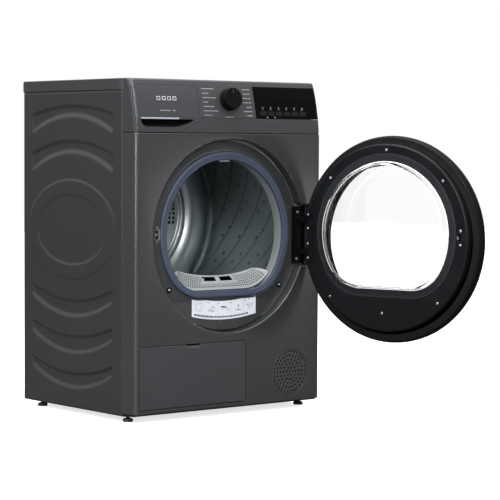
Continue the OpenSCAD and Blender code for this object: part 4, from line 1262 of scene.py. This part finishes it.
def baffles():
    """Two lifters with a rounded ridge and tapered ends."""
    along, across = 24, 12
    y0, length, half_w, ridge, foot_r = -149, 308, 34, 43, 274
    s = Shape()
    for angle in (101, 281):
        turn = Matrix.Translation((0, 0, DRUM_Z)) @ Matrix.Rotation(math.radians(-angle), 4, "Y")
        front, back = [], []
        for k in range(along + 1):
            t = k / along
            y = y0 + length * t
            rise = smooth_step(min(t, 1 - t) * 7)
            front.append([])
            back.append([])
            for i in range(across + 1):
                u = -1 + 2 * i / across
                r = foot_r - ridge * rise * (1 - abs(u) ** 2.2) ** 0.8 - 1.2 * (1 - rise)
                front[-1].append(tuple(turn @ Vector((r, y, half_w * u * (0.7 + 0.3 * rise)))))
                back[-1].append(tuple(turn @ Vector((foot_r + 1.4, y, half_w * u * 0.72))))
        made, behind = s.rows(front, closed=False), s.rows(back, closed=False)
        s.strip(border(made), border(behind))
    s.piece("drum_lifters", DRUM_COAT, "drum", ["drum_baffles"], "drum_coat", smooth=50)


def bulkhead():
    """Front bearing plate with the light grey collar that leads into the drum."""
    s = Shape()
    profile = [(187.4, -219.0), (187.6, -216), (189.2, -203), (190.6, -191), (191.6, -188.4), (193.4, -187.5),
               (262, -187.5), (262, -190.2), (194.6, -190.2), (193.2, -200), (190.6, -219.0)]
    s.lathe(profile, 0, PORT_Z, 160)
    s.piece("port_collar", GREY, "cabinet", (), "grey_plastic", smooth=45)
    plate = Shape()
    outer = [(-294, 225), (294, 225), (294, 719), (-294, 719)]
    hole = port(PORT_R + 2.4, PORT_Z, PORT_FLAT - 2)
    plate.plate(outer, [hole], -221.2, -218.4, edge=0.0, hole_edge=0.0)
    plate.piece("bearing_plate", GREY, "cabinet", ["front_bulkhead"], "grey_plastic", smooth=40)


# ---------- lint filter, flap, grille ----------

def cover_point(u, t):
    """Point on the filter cover: u runs across from -1 to 1, t from the front edge to the rear edge."""
    front_x = 155.0 * u
    over = max(0.0, abs(front_x) - 75)
    front_z = PORT_FLAT + 100 - math.sqrt(100 ** 2 - over ** 2) + 3
    rear_x = 121.0 * u + (front_x - 121.0 * u) * 0.35 * (1 - t)
    rear_z = 352.5 + 15.5 * abs(u) ** 2.2
    front = Vector((front_x, -212.5, front_z))
    rear = Vector((rear_x, -187.0, rear_z))
    bulge = 3.0 * math.sin(math.pi * t)
    return front.lerp(rear, t) + Vector((0, -0.55, 0.83)) * (bulge - 1.5)


def filter_cover():
    """Curved grid with square meshes, a raised handle bridge and two finger openings."""
    s = Shape()
    columns, lines = 42, 8
    deep = Vector((0, 0.55, -0.83)) * 2.4

    def at(i, j):
        return cover_point(-1 + 2 * i / columns, j / lines)

    def in_finger(i, j):
        x = (at(i, j).x + at(i + 1, j).x) / 2
        return 4 <= j <= 6 and (-48 < x < -9 or 7 < x < 47)

    def is_solid(i, j):
        x = (at(i, j).x + at(i + 1, j).x) / 2
        return j in (0, lines - 1) or i in (0, columns - 1) or (3 <= j and -54 < x < 52)

    for j in range(lines):
        for i in range(columns):
            if in_finger(i, j):
                continue
            quad = [at(i, j), at(i + 1, j), at(i + 1, j + 1), at(i, j + 1)]
            ring = s.add([tuple(q) for q in quad])
            if is_solid(i, j):
                s.faces.append(tuple(ring))
                continue
            middle = sum(quad, Vector()) / 4
            inner = [middle + (q - middle) * 0.6 for q in quad]
            mouth = s.add([tuple(q) for q in inner])
            floor = s.add([tuple(q + deep) for q in inner])
            s.strip(ring, mouth)
            s.strip(mouth, floor)
    s.piece("filter_grid", GREY, "filter", (), "grey_plastic", thick=1.0, smooth=30)
    mesh = Shape()
    rows = [mesh.add([tuple(at(i, j) + deep * 1.15) for i in range(1, columns)]) for j in range(lines + 1)]
    for j in range(lines):
        for i in range(columns - 2):
            if not in_finger(i + 1, j):
                mesh.faces.append((rows[j][i], rows[j][i + 1], rows[j + 1][i + 1], rows[j + 1][i]))
    mesh.piece("filter_mesh", SCREEN, "filter", (), "grey_plastic", thick=0.4, smooth=40)
    cups = Shape()
    for a, b in ((-46, -10), (8, 45)):
        ends = [(a, 4 / lines), (b, 4 / lines), (b, 7 / lines), (a, 7 / lines)]
        top = [cover_point(x / (121 + 12 * (1 - t)), t) for x, t in ends]
        middle = sum(top, Vector()) / 4
        rows = [[tuple(q) for q in top], [tuple(middle + (q - middle) * 0.94 + deep * 1.4) for q in top],
                [tuple(middle + (q - middle) * 0.86 + deep * 6.5) for q in top]]
        made = cups.rows(rows)
        cups.faces.append(tuple(made[-1]))
    cups.piece("finger_cups", VOID, "filter", (), "black_matte", smooth=30)
    bridge = Shape()
    rows = []
    for t, lift in ((0.30, 0.2), (0.36, 1.4), (0.46, 1.9), (0.5, 1.9)):
        rows.append([tuple(cover_point(x / (121 + 12 * (1 - t)), t) - deep.normalized() * lift)
                     for x in (-53, -51, -30, -10, 8, 30, 49, 51)])
    bridge.rows(rows, closed=False)
    bridge.piece("filter_handle", GREY, "filter", (), "grey_plastic", thick=0.8, smooth=30)


def filter_blade():
    """Lower part of the lint filter, with four windows."""
    s = Shape()
    s.plate([(-112, 190), (112, 190), (112, 323), (-112, 323)],
            [[(-100 + 52 * k, 198), (-56 + 52 * k, 198), (-56 + 52 * k, 308), (-100 + 52 * k, 308)]
             for k in range(4)], -207, -193, edge=1.2)
    s.piece("filter_blade", GREY, "filter", ["lint_filter"], "grey_plastic", smooth=35)


def flap():
    """Service flap with a finger notch in its upper edge."""
    s = Shape()
    x0, x1, z0, z1 = FLAP_X0 + 1.2, FLAP_X1 - 1.2, FLAP_Z0 + 1.5, FLAP_Z1 - 1.2
    notch = [(-97, z1), (-98.5, z1 - 5), (-101, z1 - 7.4), (-138, z1 - 7.4), (-140.5, z1 - 5), (-142, z1)]
    s.plate(flap_outline(x0, x1, z0, z1, 8, 4, notch), [], FRONT_Y, FRONT_Y + 2, edge=1.3)
    ramp_rows = [[(x, y, z) for x in (-145, -142.4, -97, -94)]
                 for y, z in ((FRONT_Y + 0.9, z1 - 8.8), (FRONT_Y + 1.0, z1 - 7.4), (FRONT_Y + 4.4, z1 - 3.0),
                              (FRONT_Y + 6.4, z1 - 2.8), (FRONT_Y + 6.6, z1 - 8.8))]
    made = s.rows(ramp_rows, closed=False)
    s.strip(made[-1], made[0], closed=False)
    rim_out = soft_rect(-284, 41.2, 46, 184, 6)
    rim_in = soft_rect(-282, 43.2, 44, 182, 5)
    s.plate(rim_out, [rim_in], FRONT_Y + 1.9, FRONT_Y + 6, edge=0.0)
    for x in (-240, 0):
        rod = [[(xx, FLAP_AXIS_Y + 2 * math.cos(a), FLAP_AXIS_Z + 2 * math.sin(a))
                for a in (2 * math.pi * i / 20 for i in range(20))] for xx in (x, x + 20)]
        s.close_ends(s.rows(rod)[::-1])
    s.piece("flap_panel", PANEL, "flap", ["service_flap"], "anthracite_plastic", smooth=35)


def grille():
    """Round insert with holes on rings, six more on each ring; the holes have soft bevelled edges and a black
    disc behind them as painted shade.
    """
    pitch, r, depth = 10.3, 2.9, 1.9
    centres = [(GRILLE_X, GRILLE_Z)]
    for ring in range(1, 6):
        for k in range(6 * ring):
            a = math.radians(60 * k / ring)
            centres.append((GRILLE_X + pitch * ring * math.cos(a), GRILLE_Z + pitch * ring * math.sin(a)))
    s = Shape()
    rim = ((0, 3.6), (0, 1.8), (-0.4, 0.9), (-1.2, 0.6))
    outer = s.rings(lambda radius: circle(GRILLE_X, GRILLE_Z, radius, 96),
                    [(GRILLE_R + d, FRONT_Y + y) for d, y in rim])
    holes = []
    for cx, cz in centres:
        edge = ((1.15, 0.6), (0.85, 0.35), (0.45, 0.5), (0.1, 1.0), (0, 1.3), (0, 0.6 + depth))
        made = s.rings(lambda radius: circle(cx, cz, radius, 16), [(r + d, FRONT_Y + y) for d, y in edge])
        holes.append(made[0])
    s.cap([outer[-1]] + holes)
    s.piece("air_insert", PANEL, "cabinet", ["air_grille"], "anthracite_plastic", smooth=60)
    # Black disc behind the holes: painted shade seen through them.
    dark = Shape()
    dark.plate(circle(GRILLE_X, GRILLE_Z, 55, 72), [], FRONT_Y + 9.0, FRONT_Y + 10.0, edge=0.2)
    dark.piece("air_insert_shade", BLACK_MATTE, "cabinet", (), "black_matte", smooth=40)


def feet():
    """Levelling feet with a soft pad, a waist and a threaded stud."""
    s = Shape()
    for x in (-FOOT_X, FOOT_X):
        for y in (-FOOT_Y, FOOT_Y):
            profile = [(0, 0.2), (11.4, 0.2), (12.4, 0.8), (12.8, 2.0), (12.6, 5.4), (11.6, 7.4), (9.6, 8.4),
                       (7.4, 9.0), (5.0, 9.6)]
            for k in range(17):
                profile += [(5.0, 10.2 + 1.5 * k), (4.4, 10.9 + 1.5 * k)]
            profile += [(0, 36)]
            rows = [[(x + r * math.cos(a), y + r * math.sin(a), z)
                     for a in (2 * math.pi * i / 36 for i in range(36))] for r, z in profile]
            s.rows(rows)
    s.piece("levelling_feet", RUBBER, "cabinet", ["feet"], "rubber_black", smooth=40)


# ---------- what stays a CAD shape ----------

SOFT_EDGES = {"hinge_bracket": 1.2, "hinge_leaf": 1.0, "door_latch": 0.5, "door_hook": 0.5, "drum_light": 0.5,
              "water_tank": 1.5, "tank_guide": 0.5, "filter_duct": 1.0, "exchanger_cover": 1.5, "motor": 1.5,
              "blower_housing": 1.5, "compressor": 3.0, "condensate_pump": 2.0, "base_tray": 0.8,
              "rear_panel": 0.4, "rear_duct": 1.0, "rear_bearing": 0.8, "drain_spigot": 0.8,
              "mains_inlet": 1.0, "tensioner_arm": 0.4, "tensioner_pulley": 0.8, "support_roller_left": 1.5,
              "support_roller_right": 1.5, "motor_rotor": 0.6, "drum_shaft": 0.8, "drive_belt": 0.4}


def finish_cad_nodes():
    """Gives every CAD node the material of its slot, and soft edges to those that stay in view."""
    slots = {p["node"]: p["material_slot"] for p in frame["record"]["subparts"]}
    for name, obj in frame["nodes"].items():
        material = BY_SLOT[slots[name]]
        obj.data.materials.clear()
        obj.data.materials.append(material)
        if obj.hide_render or name not in SOFT_EDGES:
            continue
        weld = obj.modifiers.new("weld", "WELD")
        weld.merge_threshold = 1e-5
        soft_edges(obj, SOFT_EDGES[name])


# ---------- stage ----------

def seen_directly(tree):
    """1 for rays that come from the camera or through glass, 0 for light that bounces."""
    path = tree.nodes.new("ShaderNodeLightPath")
    seen = tree.nodes.new("ShaderNodeMath")
    seen.operation = "MAXIMUM"
    tree.links.new(path.outputs["Is Camera Ray"], seen.inputs[0])
    tree.links.new(path.outputs["Is Transmission Ray"], seen.inputs[1])
    return seen.outputs[0]


def floor_paper():
    """Pale paper sweep that stays white to the eye but throws little light back up."""
    m = surface("pale_floor", (0.9, 0.9, 0.9), 0.6, spread=0.01, grain=40, grain_depth=0.01, level=0.1)
    tree = m.node_tree
    bsdf = tree.nodes["Principled BSDF"]
    seen = seen_directly(tree)
    tone = bsdf.inputs["Base Color"].links[0].from_socket
    mix = tree.nodes.new("ShaderNodeMix")
    mix.data_type = "RGBA"
    mix.inputs["A"].default_value = (0.07, 0.07, 0.075, 1)
    tree.links.new(seen, mix.inputs["Factor"])
    tree.links.new(tone, mix.inputs["B"])
    tree.links.new(mix.outputs["Result"], bsdf.inputs["Base Color"])
    bsdf.inputs["Emission Color"].default_value = (1, 1, 1, 1)
    tree.links.new(ramp(tree, seen, 0, 1, 0, 0.72), bsdf.inputs["Emission Strength"])
    return m


def stage():
    """Pale floor, white surroundings and six soft lamps."""
    half, drop = 9, -0.0005
    mesh = bpy.data.meshes.new("floor")
    corners = [(-half, -half, drop), (half, -half, drop), (half, half, drop), (-half, half, drop)]
    mesh.from_pydata(corners, [], [(0, 1, 2, 3)])
    floor = bpy.data.objects.new("floor", mesh)
    bpy.context.scene.collection.objects.link(floor)
    mesh.materials.append(floor_paper())
    world = bpy.data.worlds.new("studio")
    bpy.context.scene.world = world
    world.use_nodes = True
    tree = world.node_tree
    back = tree.nodes["Background"]
    back.inputs["Color"].default_value = (1, 1, 1, 1)
    coords = tree.nodes.new("ShaderNodeTexCoord")
    split = tree.nodes.new("ShaderNodeSeparateXYZ")
    tree.links.new(coords.outputs["Generated"], split.inputs[0])
    soft = ramp(tree, split.outputs["Z"], 0.0, 1.0, 0.12, 1.3)
    pick = tree.nodes.new("ShaderNodeMix")
    tree.links.new(seen_directly(tree), pick.inputs["Factor"])
    tree.links.new(soft, pick.inputs["A"])
    pick.inputs["B"].default_value = 1.0
    tree.links.new(pick.outputs["Result"], back.inputs["Strength"])
    lamp("top_light", (0, -0.4, 3.4), (0, 0, 0.3), 3.2, 2.6, 105)
    lamp("left_strip", (-3.3, -2.5, 1.5), (-0.25, -0.25, 0.5), 0.35, 2.4, 90)
    lamp("front_light", (-1.9, -4.0, 1.9), (0, 0, 0.5), 1.0, 1.0, 45)
    lamp("left_high", (-2.3, 0.2, 3.1), (-0.3, 0, 0.4), 1.2, 1.6, 60)
    lamp("low_front", (3.0, -3.4, 0.3), (0.2, -0.25, 0.1), 1.4, 0.5, 5)
    lamp("front_high", (-0.7, -3.0, 3.2), (0, -0.3, 0.4), 1.6, 1.0, 60)


def lamp(name, place, target, w, h, power):
    data = bpy.data.lights.new(name, "AREA")
    data.shape = "RECTANGLE"
    data.size, data.size_y, data.energy = w, h, power
    obj = bpy.data.objects.new(name, data)
    bpy.context.scene.collection.objects.link(obj)
    obj.location = place
    obj.rotation_mode = "QUATERNION"
    obj.rotation_quaternion = (Vector(target) - Vector(place)).to_track_quat("-Z", "Y")


def camera():
    """Camera at the photograph's place and angle."""
    azimuth, pitch, roll = math.radians(-39.232), math.radians(3.0), math.radians(0.294)
    eye = (-3.1637, -4.1996, 0.6840)
    lens_mm, sensor_mm = 144.76176, 36.0
    back = Vector((math.sin(azimuth) * math.cos(pitch), -math.cos(azimuth) * math.cos(pitch),
                   math.sin(pitch)))
    side = Vector((math.cos(azimuth), math.sin(azimuth), 0))
    up = back.cross(side)
    right = side * math.cos(roll) + up * math.sin(roll)
    top = up * math.cos(roll) - side * math.sin(roll)
    data = bpy.data.cameras.new("camera")
    data.sensor_width = sensor_mm
    data.lens = lens_mm
    data.clip_end = 100
    obj = bpy.data.objects.new("camera", data)
    bpy.context.scene.collection.objects.link(obj)
    place = Matrix((right, top, back)).transposed().to_4x4()
    place.translation = eye
    obj.matrix_world = place
    bpy.context.scene.camera = obj
    bpy.context.scene.view_settings.view_transform = "Standard"


camera()
stage()
front_panel()
side_panel(-1)
side_panel(1)
top_panel()
fascia()
seam_shade_strip()
programme_panel()
display()
drawer()
printed_marks()
touch_marks()
knob()
gasket()
label()
bumpers()
drum_light()
latch()
bracket_screws()
door_ring()
inner_frame()
bowl_ring()
bowl()
window()
door_screws()
drum_shell()
rear_wall()
baffles()
bulkhead()
filter_cover()
filter_blade()
flap()
grille()
feet()
finish_cad_nodes()
